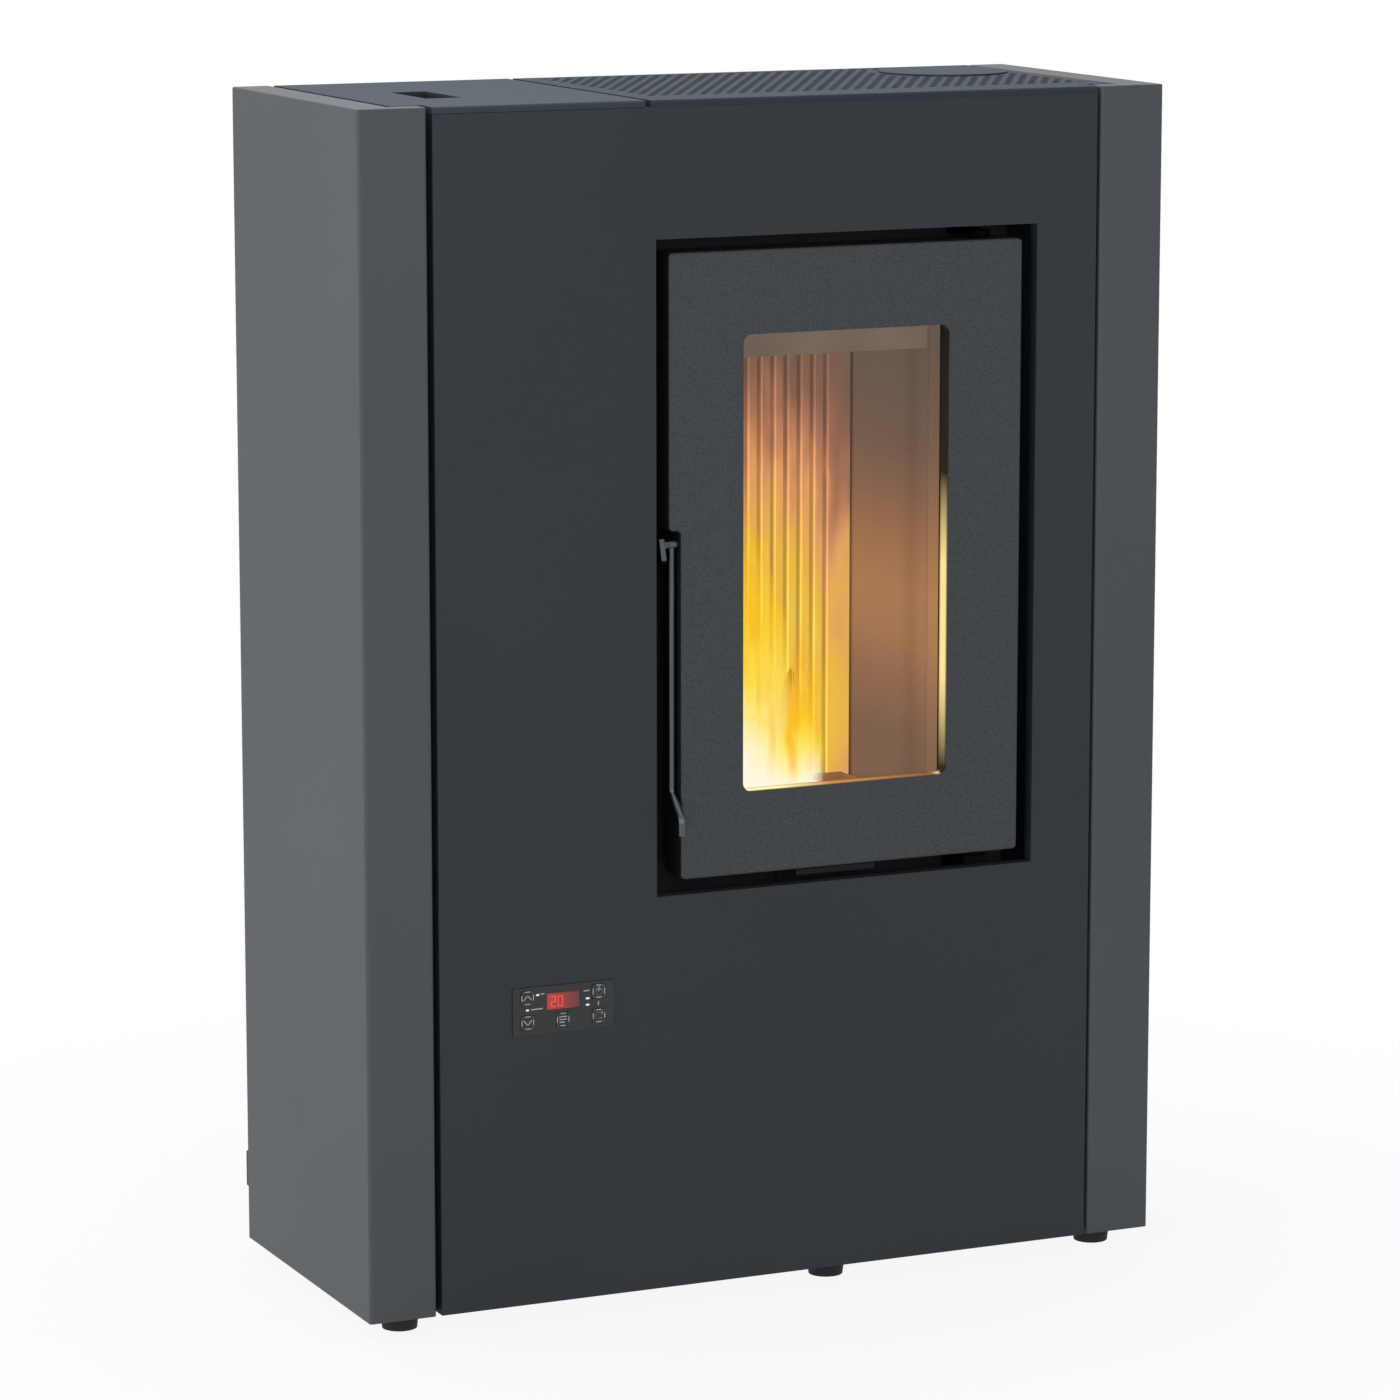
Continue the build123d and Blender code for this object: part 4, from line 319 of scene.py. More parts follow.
# Painted shade: behind the face depth the flanks turn near black, like the shaded gap round the door.
flank_painted_shading = span(tree, spot["Y"], at(0, face_depth, 0).y, at(0, flank_depth, 0).y)
paint = node(tree, "Mix", {0: flank_painted_shading, 6: tips, 7: tone("0A0A0A")}, data_type="RGBA")
tree.links.new(paint.outputs[2], shader.inputs["Base Color"])
emboss(tree, shader, sand, 0.8, 0.0005)
window_low, window_high = at(345.2, 0, 429), at(539.6, 16, 821)
lit_depth = inside(tree, spot["Y"], at(0, glow_front, 0).y, at(0, glow_back, 0).y, 0.002)
jamb = product(
    tree,
    lit_depth,
    inside(tree, spot["X"], window_high.x - 0.001, window_high.x + 0.001),
    inside(tree, spot["Z"], at(0, 0, 474).z, at(0, 0, 652).z, 0.04),
)
sill = product(
    tree,
    lit_depth,
    inside(tree, spot["Z"], window_low.z - 0.001, window_low.z + 0.001),
    inside(tree, spot["X"], window_low.x, window_high.x + 0.01, 0.004),
)
glow = node(tree, "Math", {0: jamb, 1: sill}, operation="MAXIMUM").outputs[0]
along = span(tree, spot["X"], window_low.x, window_high.x)
fire = ramp(tree, along, (0.2, "FFF0A8"), (0.45, "C88840"), (0.95, "8A5A2C"), (0.99, "FFE298"))
tree.links.new(scaled(tree, fire, glow), shader.inputs["Emission Color"])
shader.inputs["Emission Strength"].default_value = 1.0
print("door paint ready")

# %% [markdown]
# ## Zinc and bare metals
# What lies behind the skin is plainer: galvanised sheet for ducts, hopper and back, and cast
# aluminium for motors. Zinc freezes into flat crystals, the spangle, 5 to 15 mm across, each
# with its own grey. A Voronoi texture is a fair model of crystals that grow until they meet.

# %% Galvanised sheet and cast aluminium
def crystal_metal(name, dark, light, roughness, crystal_mm):
    """Metal with flat crystals that each have their own grey."""
    material, tree, shader = new_finish(name, Metallic=1.0, Roughness=roughness)
    cells = node(tree, "TexVoronoi", {"Vector": object_place(tree), "Scale": 1000 / crystal_mm})
    grey = ramp(tree, cells.outputs["Color"], (0.0, dark), (1.0, light))
    tree.links.new(grey, shader.inputs["Base Color"])
    return material


zinc_sheet = crystal_metal("galvanised_steel", "9A9EA1", "B9BDC0", 0.38, 9)
cast_aluminium = crystal_metal("cast_aluminium", "8E9092", "A6A8AA", 0.5, 2)
bright_zinc = crystal_metal("bright_zinc_plate", "BFC1C2", "CDCFD0", 0.22, 3)
print("metals:", zinc_sheet.name, cast_aluminium.name, bright_zinc.name)

# %% [markdown]
# ## The handle
# The pull rod is round steel, plated dark and brushed, so it shows one soft bright line where
# it bends. Its noise is stretched along the rod, as the strokes of a brushing belt are.

# %% Brushed dark chrome
dark_chrome, tree, shader = new_finish("brushed_dark_chrome", Metallic=1.0, Roughness=0.3)
along = node(tree, "Mapping", {"Vector": object_place(tree), "Scale": (900, 900, 12)})
strokes = noise(tree, along.outputs[0], 1.0)
shade = ramp(tree, strokes, (0.0, "43474A"), (1.0, "5C6164"))
tree.links.new(shade, shader.inputs["Base Color"])
print("handle finish ready")

# %% [markdown]
# ## Glass ceramic
# The window is clear glass ceramic, 4 mm thick, IOR about 1.53. It is almost free of colour.
# In the photo it mirrors next to nothing, because that side of the studio was dark. Ours is
# white all round, so the mirror image is toned down and the fire keeps its full colour.

# %% Glass ceramic
glass_ceramic, tree, shader = new_finish("clear_glass_ceramic", Roughness=0.02, IOR=1.53)
shader.inputs["Specular IOR Level"].default_value = 0.12
shader.inputs["Specular Tint"].default_value = (0.08, 0.08, 0.08, 1)
shader.inputs["Transmission Weight"].default_value = 1.0
film = ramp(tree, noise(tree, object_place(tree), 9.0), (0.0, "F4F1EC"), (1.0, "FFFFFF"))
tree.links.new(film, shader.inputs["Base Color"])
print("glass ready")

# %% [markdown]
# ## Firebrick lit by its own fire
# The chamber is lined with pressed vermiculite board, a soft brown-grey firebrick, ribbed at
# the back. We see it mostly by the fire's light: yellow near the flames, then amber, then a
# dull brown at the top. A lamp can't be trusted to give the same picture in every studio, so
# the board carries that light itself, painted on. On the back it follows the distance to the
# flames, and it is stronger on the flanks of the ribs and weaker in the grooves. On the sides it
# follows the height, brightest where the flames lean to, with painted shade in the back corner
# and a painted shadow in a vertical streak.

# %% Light of the fire on the back board
back_low, back_high = [Vector(corner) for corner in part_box("back_liner")]
rib_depth = 0.005
fire_middle = at(415, 150, 470)
fire_reach = (0.26, 0.5, 0.34)


def vermiculite(name):
    """Pressed vermiculite board without its light; gives material, tree, shader and place."""
    material, tree, shader = new_finish(name, Roughness=0.95, IOR=1.5)
    shader.inputs["Specular IOR Level"].default_value = 0.1
    shader.inputs["Emission Strength"].default_value = 0.86
    place = node(tree, "TexCoord").outputs
    flakes = noise(tree, place["Object"], 330.0, 4.0)
    board = ramp(tree, flakes, (0.3, "1E1A16"), (0.7, "231E1A"))
    tree.links.new(board, shader.inputs["Base Color"])
    emboss(tree, shader, flakes, 0.04, 0.0002)
    return material, tree, shader, place


lit_back, tree, shader, place = vermiculite("ribbed_vermiculite_in_firelight")
spot = node(tree, "SeparateXYZ", {"Vector": place["Object"]}).outputs
away = node(tree, "VectorMath", {0: place["Object"], 1: fire_middle}, operation="SUBTRACT")
reach = node(tree, "VectorMath", {0: away.outputs[0], 1: [1 / far for far in fire_reach]},
             operation="MULTIPLY")
distance = node(tree, "VectorMath", {0: reach.outputs[0]}, operation="LENGTH").outputs["Value"]
licks = node(tree, "Mapping", {"Vector": place["Object"], "Scale": (40, 40, 9)}).outputs[0]
shift = span(tree, noise(tree, licks, 1.0, 3.0), 0.3, 0.7, -0.1, 0.1)
total = node(tree, "Math", {0: distance, 1: shift}, operation="ADD").outputs[0]
light = ramp(tree, total, (0.25, "FFE060"), (0.46, "FFC846"), (0.62, "F2AA6A"),
             (0.75, "C08260"), (0.88, "946854"), (1.02, "80604F"), (1.2, "786456"))
groove = span(tree, spot["Y"], back_low.y, back_low.y + rib_depth, 1.0, 0.62)
facing = node(tree, "SeparateXYZ", {"Vector": place["Normal"]}).outputs["X"]
flank_painted_shading = span(tree, facing, -1.0, 0.0, 1.7, 1.0)
tree.links.new(scaled(tree, light, product(tree, groove, flank_painted_shading)), shader.inputs["Emission Color"])
print("back board from", tuple(round(v, 3) for v in back_low), "to its top at", round(back_high.z, 3))


# %% Light of the fire on the side boards
shadow_streak_front, shadow_streak_back = 88, 104


def side_light(tree, place):
    """Painted firelight on the chamber's sides: a height ramp, painted shade in the back corner and a
    painted shadow streak.
    """
    spot = node(tree, "SeparateXYZ", {"Vector": place["Object"]}).outputs
    height = span(tree, spot["Z"], back_low.z, back_high.z)
    warm = ramp(tree, height, (0.16, "83644F"), (0.26, "996E53"), (0.355, "AE7C57"),
                (0.45, "B48058"), (0.547, "A77653"), (0.643, "8E6952"), (0.74, "796050"),
                (0.93, "6A5A50"))
    # Painted shade: the firelight falls to 0.3 towards the back corner.
    corner = span(tree, spot["Y"], back_low.y - 0.008, back_low.y - 0.002, 1.0, 0.3)
    # Painted shadow: a vertical streak down the side board, a fifth dimmer.
    painted_shadow_streak = inside(tree, spot["Y"], at(0, shadow_streak_front, 0).y, at(0, shadow_streak_back, 0).y, 0.012)
    painted_streak_dimming = span(tree, painted_shadow_streak, 0.0, 1.0, 1.0, 0.8)
    return scaled(tree, warm, product(tree, corner, painted_streak_dimming))


lit_side, tree, shader, place = vermiculite("side_vermiculite_in_firelight")
tree.links.new(side_light(tree, place), shader.inputs["Emission Color"])

lit_top, tree, shader, place = vermiculite("baffle_vermiculite_in_firelight")
# Painted firelight on the baffle: a dull brown, a little uneven.
painted_baffle_firelight = ramp(tree, noise(tree, place["Object"], 20.0), (0.3, "73635A"), (0.7, "7E6D60"))
tree.links.new(painted_baffle_firelight, shader.inputs["Emission Color"])
print("side boards lit between", round(back_low.z, 3), "and", round(back_high.z, 3), "m")

# %% [markdown]
# ## Steel near the fire
# The mouth of the fire chamber, the burn pot, its seat and the ash drawer are steel under
# black heat paint. They stand so close to the flames that they shine amber where they face
# the fire. The mouth's inner edge simply carries on the light of the side boards.


# %% Black steel that catches firelight
def black_paint(name):
    """Matt heat paint with a little dust; gives material, tree, shader and place."""
    material, tree, shader = new_finish(name, Roughness=0.7, IOR=1.5)
    place = node(tree, "TexCoord").outputs
    dust = noise(tree, place["Object"], 60.0, 4.0)
    shade = ramp(tree, dust, (0.3, "0B0B0C"), (0.7, "1A1A1B"))
    tree.links.new(shade, shader.inputs["Base Color"])
    emboss(tree, shader, dust, 0.3, 0.0002)
    return material, tree, shader, place


heat_black, tree, shader, place = black_paint("black_heat_paint")

mouth_front, mouth_back, mouth_top = 38, 66, 855
lit_mouth, tree, shader, place = black_paint("black_heat_paint_at_the_fire_mouth")
spot = node(tree, "SeparateXYZ", {"Vector": place["Object"]}).outputs
ring = product(
    tree,
    inside(tree, spot["X"], back_low.x - 0.001, back_high.x + 0.001),
    inside(tree, spot["Y"], at(0, mouth_front, 0).y, at(0, mouth_back, 0).y, 0.004),
    inside(tree, spot["Z"], back_low.z - 0.001, at(0, 0, mouth_top).z),
)
tree.links.new(scaled(tree, side_light(tree, place), ring), shader.inputs["Emission Color"])
shader.inputs["Emission Strength"].default_value = 0.92

lit_steel, tree, shader, place = black_paint("black_heat_paint_beside_the_flames")
pot_middle = at(442.5, 141, 400)
away = node(tree, "VectorMath", {0: place["Object"], 1: pot_middle}, operation="DISTANCE")
near = ramp(tree, away.outputs["Value"], (0.045, "FFD890"), (0.075, "C08050"), (0.16, "5A3C2C"))
tree.links.new(near, shader.inputs["Emission Color"])
shader.inputs["Emission Strength"].default_value = 0.8
print("steel finishes:", heat_black.name, lit_mouth.name, lit_steel.name)

# %% [markdown]
# ## Soft seals, rubber, plastics and boards
# Rope seal is braided glass fibre, dyed black, with strands about 2 mm wide. The feet are
# black rubber. The inlet and switches are moulded ABS. Circuit boards are green solder mask
# over glass fibre with darker parts on top.


# %% Braid, rubber and plastics
def moulded(name, card, roughness, spark_mm, height):
    """Moulded plastic or rubber with the fine spark texture of its tool."""
    material, tree, shader = new_finish(name, Roughness=roughness, IOR=1.5)
    spark = noise(tree, object_place(tree), 1000 / spark_mm)
    spread = span(tree, spark, 0.0, 1.0, 0.8, 1.2)
    tree.links.new(scaled(tree, tone(card)[:3], spread), shader.inputs["Base Color"])
    emboss(tree, shader, spark, 0.5, height)
    return material


foot_rubber = moulded("black_rubber", "121212", 0.8, 2, 0.0002)
black_abs = moulded("black_moulded_abs", "17181A", 0.5, 1.5, 0.0001)
rocker_abs = moulded("gloss_black_abs", "0E0E10", 0.2, 1.5, 0.00002)
panel_film = moulded("matt_polyester_film", "15181A", 0.5, 1.5, 0.00003)
key_film = moulded("matt_key_film", "121416", 0.45, 1.5, 0.00003)

rope_braid, tree, shader = new_finish("braided_glass_fibre", Roughness=0.95, IOR=1.5)
strands = node(tree, "TexVoronoi", {"Vector": object_place(tree), "Scale": 450.0})
weave = ramp(tree, strands.outputs["Distance"], (0.0, "2A2A2A"), (1.0, "0C0C0C"))
tree.links.new(weave, shader.inputs["Base Color"])
emboss(tree, shader, strands.outputs["Distance"], 1.0, 0.0008)

solder_mask, tree, shader = new_finish("green_solder_mask", Roughness=0.35, IOR=1.5)
tracks = node(tree, "TexBrick", {"Vector": object_place(tree), "Scale": 90.0,
                                 "Color1": tone("1D5B35"), "Color2": tone("174C2C"),
                                 "Mortar": tone("2C7A48")})
tree.links.new(tracks.outputs["Color"], shader.inputs["Base Color"])
print("soft and moulded finishes ready")

# %% [markdown]
# ## The display window
# A red acrylic filter covers the digits. It glows most at its left, where the lit digits are.

# %% Display filter
bright_end, dark_end = 162, 193
red_filter, tree, shader = new_finish("red_acrylic_filter", Roughness=0.25, IOR=1.49)
split = node(tree, "SeparateXYZ", {"Vector": object_place(tree)})
fade = span(tree, split.outputs["X"], at(bright_end, 0, 0).x, at(dark_end, 0, 0).x)
red = ramp(tree, fade, (0.0, "9A2A24"), (1.0, "4A2020"))
tree.links.new(red, shader.inputs["Emission Color"])
shader.inputs["Emission Strength"].default_value = 0.75
tree.links.new(red, shader.inputs["Base Color"])
print("display filter ready")

# %% [markdown]
# ## Give every frame piece its finish
# The table below reads like a parts list: each piece of the frame and what it is made of.

# %% Finish table
finishes = {
    anthracite_coat: "front_panel",
    grey_coat: "left_side_panel right_side_panel",
    top_coat: "hopper_lid flue_cover",
    grille_coat: "top_grille",
    black_coat_and_painted_gap_shade: "door_hinge_brackets handle_pin",
    cast_paint: "door_frame",
    heat_black: (
        "top_deck lid_pull_cup lid_hinge_leaves lid_hinge_pins glass_clips sill_plate "
        "latch_striker firebox"
    ),
    lit_mouth: "front_bulkhead",
    lit_steel: "pot_seat burn_pot ash_drawer",
    zinc_sheet: (
        "base_plate rear_panel igniter air_box hopper auger_tube auger_screw "
        "pellet_chute smoke_duct smoke_fan_housing smoke_fan_impeller flue_outlet "
        "room_fan_housing room_fan_rotor"
    ),
    cast_aluminium: "gearmotor smoke_fan_motor room_fan_motor",
    bright_zinc: "panel_screws",
    dark_chrome: "door_handle",
    glass_ceramic: "door_glass",
    lit_back: "back_liner",
    lit_side: "side_liners",
    lit_top: "baffle",
    rope_braid: "door_gasket glass_gasket hopper_gasket",
    foot_rubber: "feet",
    black_abs: "power_inlet pressure_switch",
    rocker_abs: "power_switch",
    panel_film: "display_bezel",
    key_film: "key_up key_down key_set key_power key_mode",
    red_filter: "display_screen",
    solder_mask: "control_board main_board",
}
dressed = set()
for material, names in finishes.items():
    for name in names.split():
        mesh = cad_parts[name].data
        mesh.materials.clear()
        mesh.materials.append(material)
        dressed.add(name)
print("dressed:", len(dressed), "left:", sorted(set(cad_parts) - dressed))

# %% [markdown]
# ## Flames
# A pellet flame is a bundle of lazy tongues that rise from the pot, white where the gas is
# densest, then yellow, then orange and gone. Each tongue is a closed lofted form: rings of
# points whose radius swells and then runs out, with the centre line swaying as it rises. Its
# colour follows its height, with deeper orange where the noise is thick, and it turns clear
# towards its rim and its tip, so that the edges melt as real flames do.

# %% Flame finish
flame_gas, tree, shader = new_finish("burning_wood_gas", Roughness=1.0)
shader.inputs["Base Color"].default_value = tone("000000")
shader.inputs["Specular IOR Level"].default_value = 0.0
shader.inputs["Emission Strength"].default_value = 1.05
place = node(tree, "TexCoord")
split = node(tree, "SeparateXYZ", {"Vector": place.outputs["Generated"]})
warm = ramp(tree, split.outputs["Z"], (0.14, "FFF9E8"), (0.28, "FFF078"), (0.42, "FFDE10"),
            (0.6, "FFC818"), (0.8, "FFA820"), (1.0, "E07A1E"))
rim = node(tree, "LayerWeight", {"Blend": 0.8})
body = span(tree, rim.outputs["Facing"], 0.0, 0.96, 0.95, 0.0)
tip = span(tree, split.outputs["Z"], 0.2, 1.0, 1.0, 0.0)
licks = node(tree, "Mapping", {"Vector": place.outputs["Object"], "Scale": (30, 30, 8)})
licks = noise(tree, licks.outputs[0], 1.0, 3.0, Distortion=0.8)
torn = span(tree, licks, 0.36, 0.62, 0.3, 1.15)
rich = product(tree, span(tree, licks, 0.5, 0.62, 0.0, 0.7),
               span(tree, split.outputs["Z"], 0.15, 0.3))
warm = node(tree, "Mix", {0: rich, 6: warm, 7: tone("F59A08")}, data_type="RGBA").outputs[2]
tree.links.new(warm, shader.inputs["Emission Color"])
foot = span(tree, split.outputs["Z"], 0.05, 0.3, 1.0, 0.0)
torn = node(tree, "Math", {0: torn, 1: foot}, operation="MAXIMUM").outputs[0]
thin = node(tree, "Math", {0: product(tree, body, tip), 1: torn}, operation="MULTIPLY",
            use_clamp=True)
tree.links.new(thin.outputs[0], shader.inputs["Alpha"])
print("flame finish ready")


# %% Flame tongues
def tongue(name, foot, height, radius, lean, sway, turn):
    """A closed lofted flame: foot in mm, height and radius in mm, lean in mm at the tip."""
    rings, sides = 22, 20
    taper, flatness, twist = 0.35, 0.75, 1.6
    points, faces = [], []
    for ring in range(rings + 1):
        rise = ring / rings
        swell = radius * math.sin(math.pi * min(1, 0.18 + rise * 0.82)) ** 0.8
        swell *= 1 - taper * rise
        drift = sway * math.sin(rise * 5.2 + turn) * rise
        centre = Vector((lean[0] * rise**1.4 + drift, lean[1] * rise**1.4 + drift / 2,
                         height * rise))
        for side in range(sides):
            angle = 2 * math.pi * side / sides + rise * twist
            ripple = 1 + 0.16 * math.sin(3 * angle + 7 * rise + turn)
            edge = Vector((math.cos(angle), math.sin(angle) * flatness, 0))
            points.append((centre + edge * swell * ripple) / 1000)
    for ring in range(rings):
        for side in range(sides):
            a = ring * sides + side
            b = ring * sides + (side + 1) % sides
            faces.append((a, b, b + sides, a + sides))
    faces.append(tuple(range(sides - 1, -1, -1)))
    faces.append(tuple(rings * sides + side for side in range(sides)))
    mesh = bpy.data.meshes.new(name)
    mesh.from_pydata(points, [], faces)
    mesh.polygons.foreach_set("use_smooth", [True] * len(mesh.polygons))
    mesh.materials.append(flame_gas)
    flame = bpy.data.objects.new(name, mesh)
    flame.location = at(*foot)
    bpy.context.collection.objects.link(flame)
    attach(flame, "cabinet")
    return flame


tongues = [
    tongue("flame_tall", (424, 154, 388), 370, 42, (-22, 8), 12, 0.4),
    tongue("flame_left", (408, 140, 388), 300, 34, (-26, -4), 9, 2.1),
    tongue("flame_core", (438, 140, 386), 190, 50, (-14, 0), 7, 1.2),
    tongue("flame_right", (466, 146, 388), 165, 32, (4, 6), 8, 3.6),
    tongue("flame_front", (450, 118, 388), 125, 30, (-6, -8), 6, 5.0),
    tongue("flame_back", (440, 168, 388), 250, 36, (-10, 8), 9, 4.2),
]
print("tongues:", len(tongues))

# %% [markdown]
# ## Pellets
# Wood pellets are pressed beech and spruce, 6 mm thick and 10 to 25 mm long. Burning ones lie
# in the pot under the flames, fresh ones fill the hopper and show when the lid is open. Each
# pellet is a short eight-sided rod with broken ends, and one mesh holds the whole heap.


# %% A heap of pellets
def pellet_heap(name, low, high, crown, count, seed, material):
    """Pellets thrown on a heap between two corners, in mm, with a crowned top."""
    dice = random.Random(seed)
    points, faces = [], []
    margin, pellet_radius = 9, 3
    middle = ((low[0] + high[0]) / 2, (low[1] + high[1]) / 2)
    half = ((high[0] - low[0]) / 2 - margin, (high[1] - low[1]) / 2 - margin)
    shortest, longest = (10, 22) if half[0] > 60 else (7, 12)
    columns, rows = 12, 12
    for row in range(rows + 1):
        for column in range(columns + 1):
            u, v = 2 * column / columns - 1, 2 * row / rows - 1
            top = high[2] - 6 + crown * (1 - (u * u + v * v) / 2)
            points.append(at(middle[0] + u * half[0], middle[1] + v * half[1], top))
    for row in range(rows):
        for column in range(columns):
            a = row * (columns + 1) + column
            faces.append((a, a + 1, a + columns + 2, a + columns + 1))
    for _ in range(count):
        u, v = dice.uniform(-1, 1), dice.uniform(-1, 1)
        length = dice.uniform(shortest, longest)
        lift = high[2] - 4 + crown * (1 - (u * u + v * v) / 2) + dice.uniform(-2, 3)
        centre = at(middle[0] + u * (half[0] - length / 2), middle[1] + v * (half[1] - length / 2),
                    lift)
        heading = Vector((dice.uniform(-1, 1), dice.uniform(-1, 1), dice.uniform(-0.35, 0.35)))
        turn = heading.to_track_quat("Z", "Y")
        start = len(points)
        for end in (-0.5, 0.5):
            for side in range(8):
                angle = math.pi * side / 4
                rim = Vector((math.cos(angle), math.sin(angle), 0)) * pellet_radius
                rim.z = end * length * dice.uniform(0.94, 1.0)
                points.append(centre + turn @ rim / 1000)
        for side in range(8):
            a, b = start + side, start + (side + 1) % 8
            faces.append((a, b, b + 8, a + 8))
        faces.append(tuple(start + side for side in range(7, -1, -1)))
        faces.append(tuple(start + 8 + side for side in range(8)))
    mesh = bpy.data.meshes.new(name)
    mesh.from_pydata(points, [], faces)
    mesh.materials.append(material)
    heap = bpy.data.objects.new(name, mesh)
    bpy.context.collection.objects.link(heap)
    print(name, "pellets:", count, "faces:", len(faces))
    return heap


# %% Beech pellets and embers
beech_pellet, tree, shader = new_finish("pressed_beech_pellet", Roughness=0.75, IOR=1.5)
fibre = noise(tree, object_place(tree), 260.0, 5.0)
wood = ramp(tree, fibre, (0.3, "8A6238"), (0.7, "C79B64"))
tree.links.new(wood, shader.inputs["Base Color"])

ember, tree, shader = new_finish("glowing_pellet", Roughness=0.9, IOR=1.5)
shader.inputs["Emission Strength"].default_value = 1.4
hot = ramp(tree, noise(tree, object_place(tree), 70.0, 3.0), (0.35, "FFB040"), (0.6, "FFF3D0"))
tree.links.new(hot, shader.inputs["Emission Color"])
shader.inputs["Base Color"].default_value = tone("2A1A10")

hopper_low, hopper_high = (54, 38, 800), (240, 280, 900)
fuel = pellet_heap("hopper_pellets", hopper_low, hopper_high, 24, 620, 7, beech_pellet)
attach(fuel, "cabinet")
pot_low, pot_high = (399, 103, 350), (486, 179, 380)
embers = pellet_heap("pot_embers", pot_low, pot_high, 10, 90, 11, ember)
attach(embers, "pot")

# %% [markdown]
# ## Marks on the keys
# The keys are printed with plain line icons: arrows to step up and down, a menu sign, a power
# sign and a mode sign. The print is a few hundredths of a millimetre thick. Each line is a
# flat ribbon that lies 0.04 mm in front of its key, and it rides on that key.

# %% Print ink
pale_ink, tree, shader = new_finish("pale_grey_print", Roughness=0.6, IOR=1.5)
ink = ramp(tree, noise(tree, object_place(tree), 900.0), (0.0, "A2A7AA"), (1.0, "CACED0"))
tree.links.new(ink, shader.inputs["Base Color"])


def print_lines(name, lines, depth, width, material, body):
    """Ribbons along lines of (x, z) points in mm, at a depth in mm, as one thin mesh."""
    points, faces = [], []
    for line in lines:
        for (x0, z0), (x1, z1) in zip(line, line[1:]):
            run = Vector((x1 - x0, z1 - z0)).normalized() * width / 2
            across = Vector((-run.y, run.x))
            a = Vector((x0, z0)) - run
            b = Vector((x1, z1)) + run
            start = len(points)
            for corner in (a - across, b - across, b + across, a + across):
                points.append(at(corner.x, depth, corner.y))
            faces.append((start, start + 1, start + 2, start + 3))
    mesh = bpy.data.meshes.new(name)
    mesh.from_pydata(points, [], faces)
    mesh.materials.append(material)
    print_layer = bpy.data.objects.new(name, mesh)
    bpy.context.collection.objects.link(print_layer)
    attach(print_layer, body)
    return print_layer


def rounded_box(x, z, size, corner=2.4):
    """Outline of a rounded square round a key's middle."""
    half, line = size / 2, []
    for quarter, (sx, sz) in enumerate(((1, 1), (-1, 1), (-1, -1), (1, -1))):
        for step in range(5):
            angle = math.pi / 2 * (quarter + step / 4)
            line.append((x + sx * (half - corner) + corner * math.cos(angle),
                         z + sz * (half - corner) + corner * math.sin(angle)))
    return line + line[:1]


def arc(x, z, radius, start, end, steps=14):
    """Points along a circular arc, angles in degrees."""
    turns = [math.radians(start + (end - start) * i / steps) for i in range(steps + 1)]
    return [(x + radius * math.cos(t), z + radius * math.sin(t)) for t in turns]


# %% Icons
key_front, key_size, stroke = -1.74, 10.6, 0.85
icons = {
    "key_up": (144.4, 268.4, [[(-3.4, -1.6), (0, 2.2), (3.4, -1.6)]]),
    "key_down": (144.4, 247.0, [[(-3.4, 1.8), (0, -2.2), (3.4, 1.8)]]),
    "key_set": (176.8, 247.0, [[(-3, 2.4), (3, 2.4)], [(-3, 0), (3, 0)], [(-3, -2.4), (1, -2.4)]]),
    "key_power": (209.8, 268.4, [arc(0, -0.4, 2.9, 130, 410), [(0, 0.4), (0, 3.6)]]),
    "key_mode": (209.8, 247.0, [arc(0, 0, 2.9, 20, 320), [(2.7, 1), (2.9, 3.2)]]),
}
for key, (x, z, strokes) in icons.items():
    moved = [[(x + px, z + pz) for px, pz in line] for line in strokes]
    print_lines(key + "_print", [rounded_box(x, z, key_size)] + moved, key_front, stroke,
                pale_ink, key + "_cap")
print("icons:", len(icons))

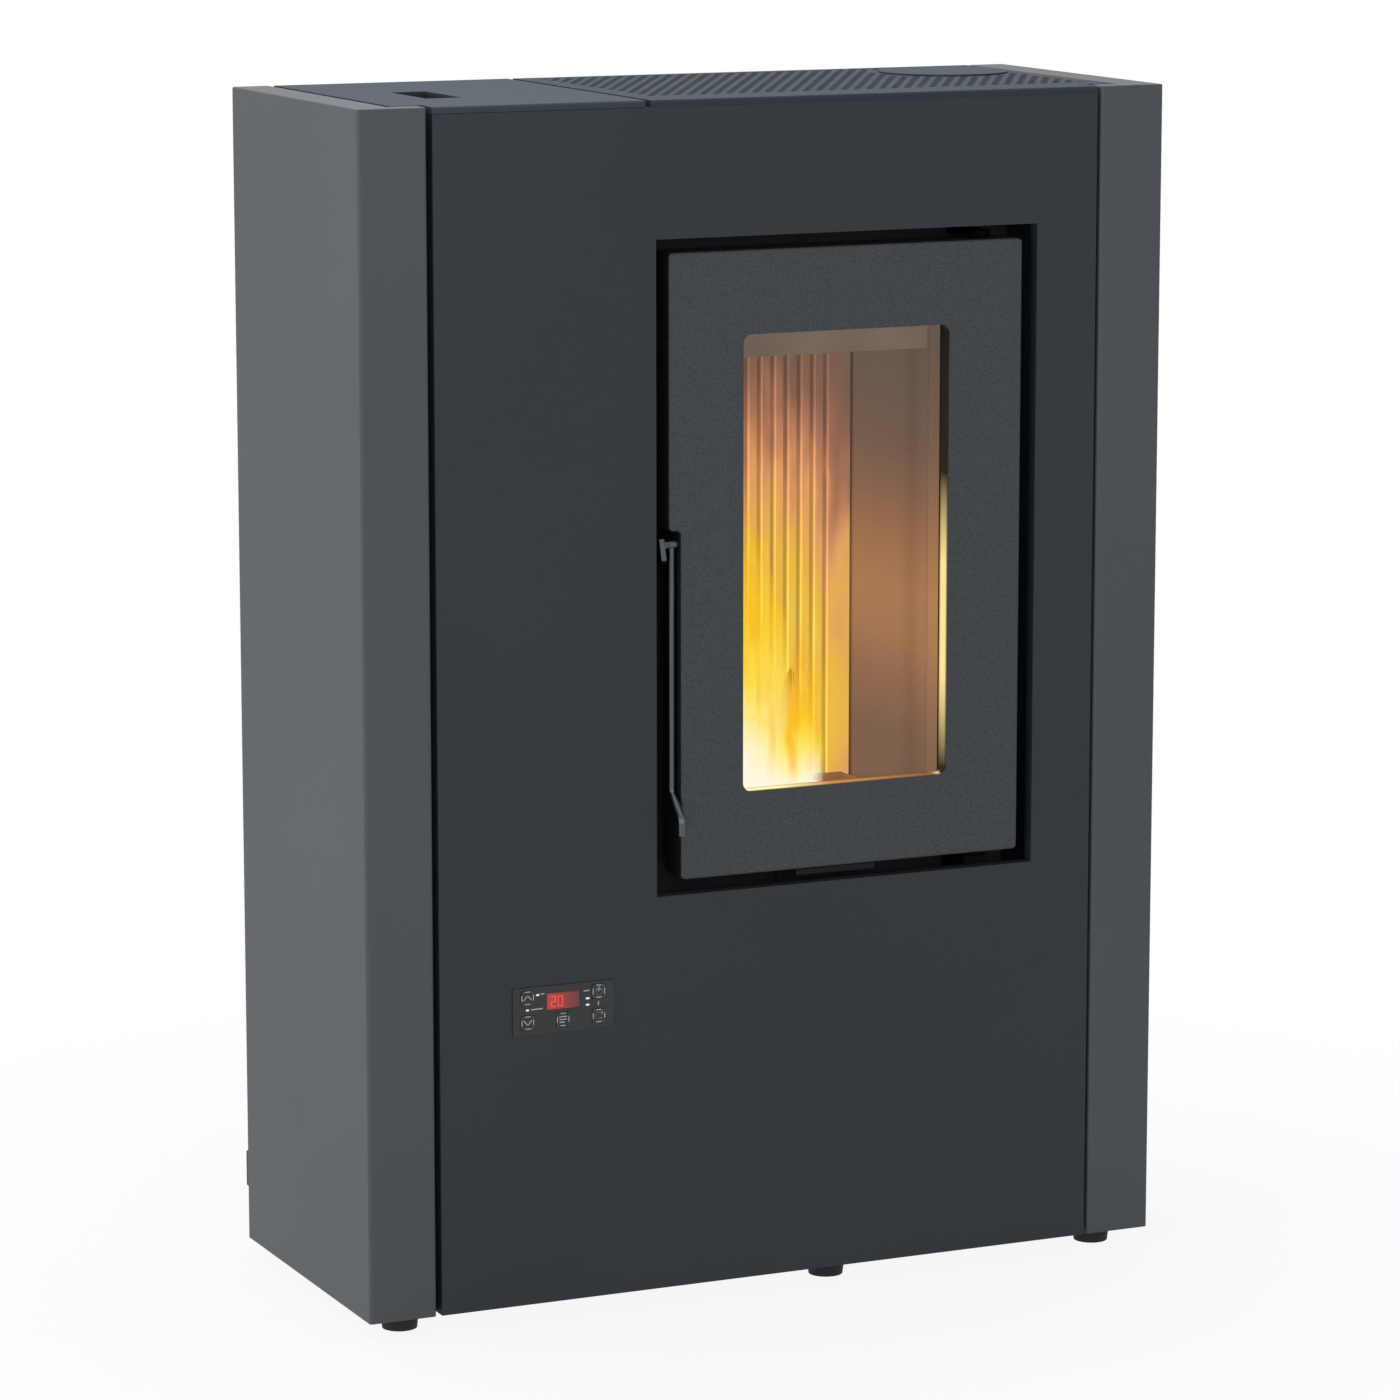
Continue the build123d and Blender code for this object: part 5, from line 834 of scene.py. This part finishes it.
# %% [markdown]
# ## Marks on the bezel and the lit digits
# Small dashes beside the keys name the status lamps, and four of the lamps are lit white. The
# display shows a room temperature in seven-segment digits.


# %% Lit lamps
def lit_lens(name, dim, bright, power):
    """A small lamp lens that glows a little unevenly, as a diffuser over one diode does."""
    material, tree, shader = new_finish(name, Roughness=0.4, IOR=1.5)
    shader.inputs["Base Color"].default_value = tone(dim)
    shader.inputs["Emission Strength"].default_value = power
    lamp = ramp(tree, noise(tree, object_place(tree), 120.0), (0.0, dim), (1.0, bright))
    tree.links.new(lamp, shader.inputs["Emission Color"])
    return material


lit_digit = lit_lens("red_lamp_segment", "C03A30", "E25A4A", 0.8)
lit_status = lit_lens("white_status_lamp", "B8C4C4", "F4F8F8", 0.7)
print("lamps:", lit_digit.name, lit_status.name)

# %% Bezel marks and digits
bezel_front, screen_front = -1.24, -1.03
digit_left, digit_foot = 166.0, 258.9
digit_step, digit_width, half_digit = 6.6, 4.0, 4.3
dashes = [
    [(156.6, 270.8), (159.4, 270.9)], [(148.0, 258.0), (157.8, 258.2)],
    [(196.4, 269.6), (200.8, 269.9)], [(209.6, 256.4), (209.6, 259.2)],
]
status_lamps = [
    [(153.2, 270.2), (154.2, 270.2)], [(143.8, 257.8), (144.8, 257.8)],
    [(198.8, 263.0), (200.4, 263.0)], [(198.8, 257.4), (200.4, 257.4)],
]
print_lines("bezel_print", dashes, bezel_front, 1.0, pale_ink, "cabinet")
print_lines("status_lamps", status_lamps, bezel_front, 1.6, lit_status, "cabinet")

segments = {"a": ((0, 2), (1, 2)), "b": ((1, 2), (1, 1)), "c": ((1, 1), (1, 0)),
            "d": ((0, 0), (1, 0)), "e": ((0, 1), (0, 0)), "f": ((0, 2), (0, 1)),
            "g": ((0, 1), (1, 1))}
digit_lines = []
for column, lit in enumerate(("abged", "abcdef")):
    for letter in lit:
        line = []
        for u, v in segments[letter]:
            line.append((digit_left + column * digit_step + u * digit_width,
                         digit_foot + v * half_digit))
        digit_lines.append(line)
print_lines("display_digits", digit_lines, screen_front, 0.9, lit_digit, "cabinet")
print("segments lit:", len(digit_lines))
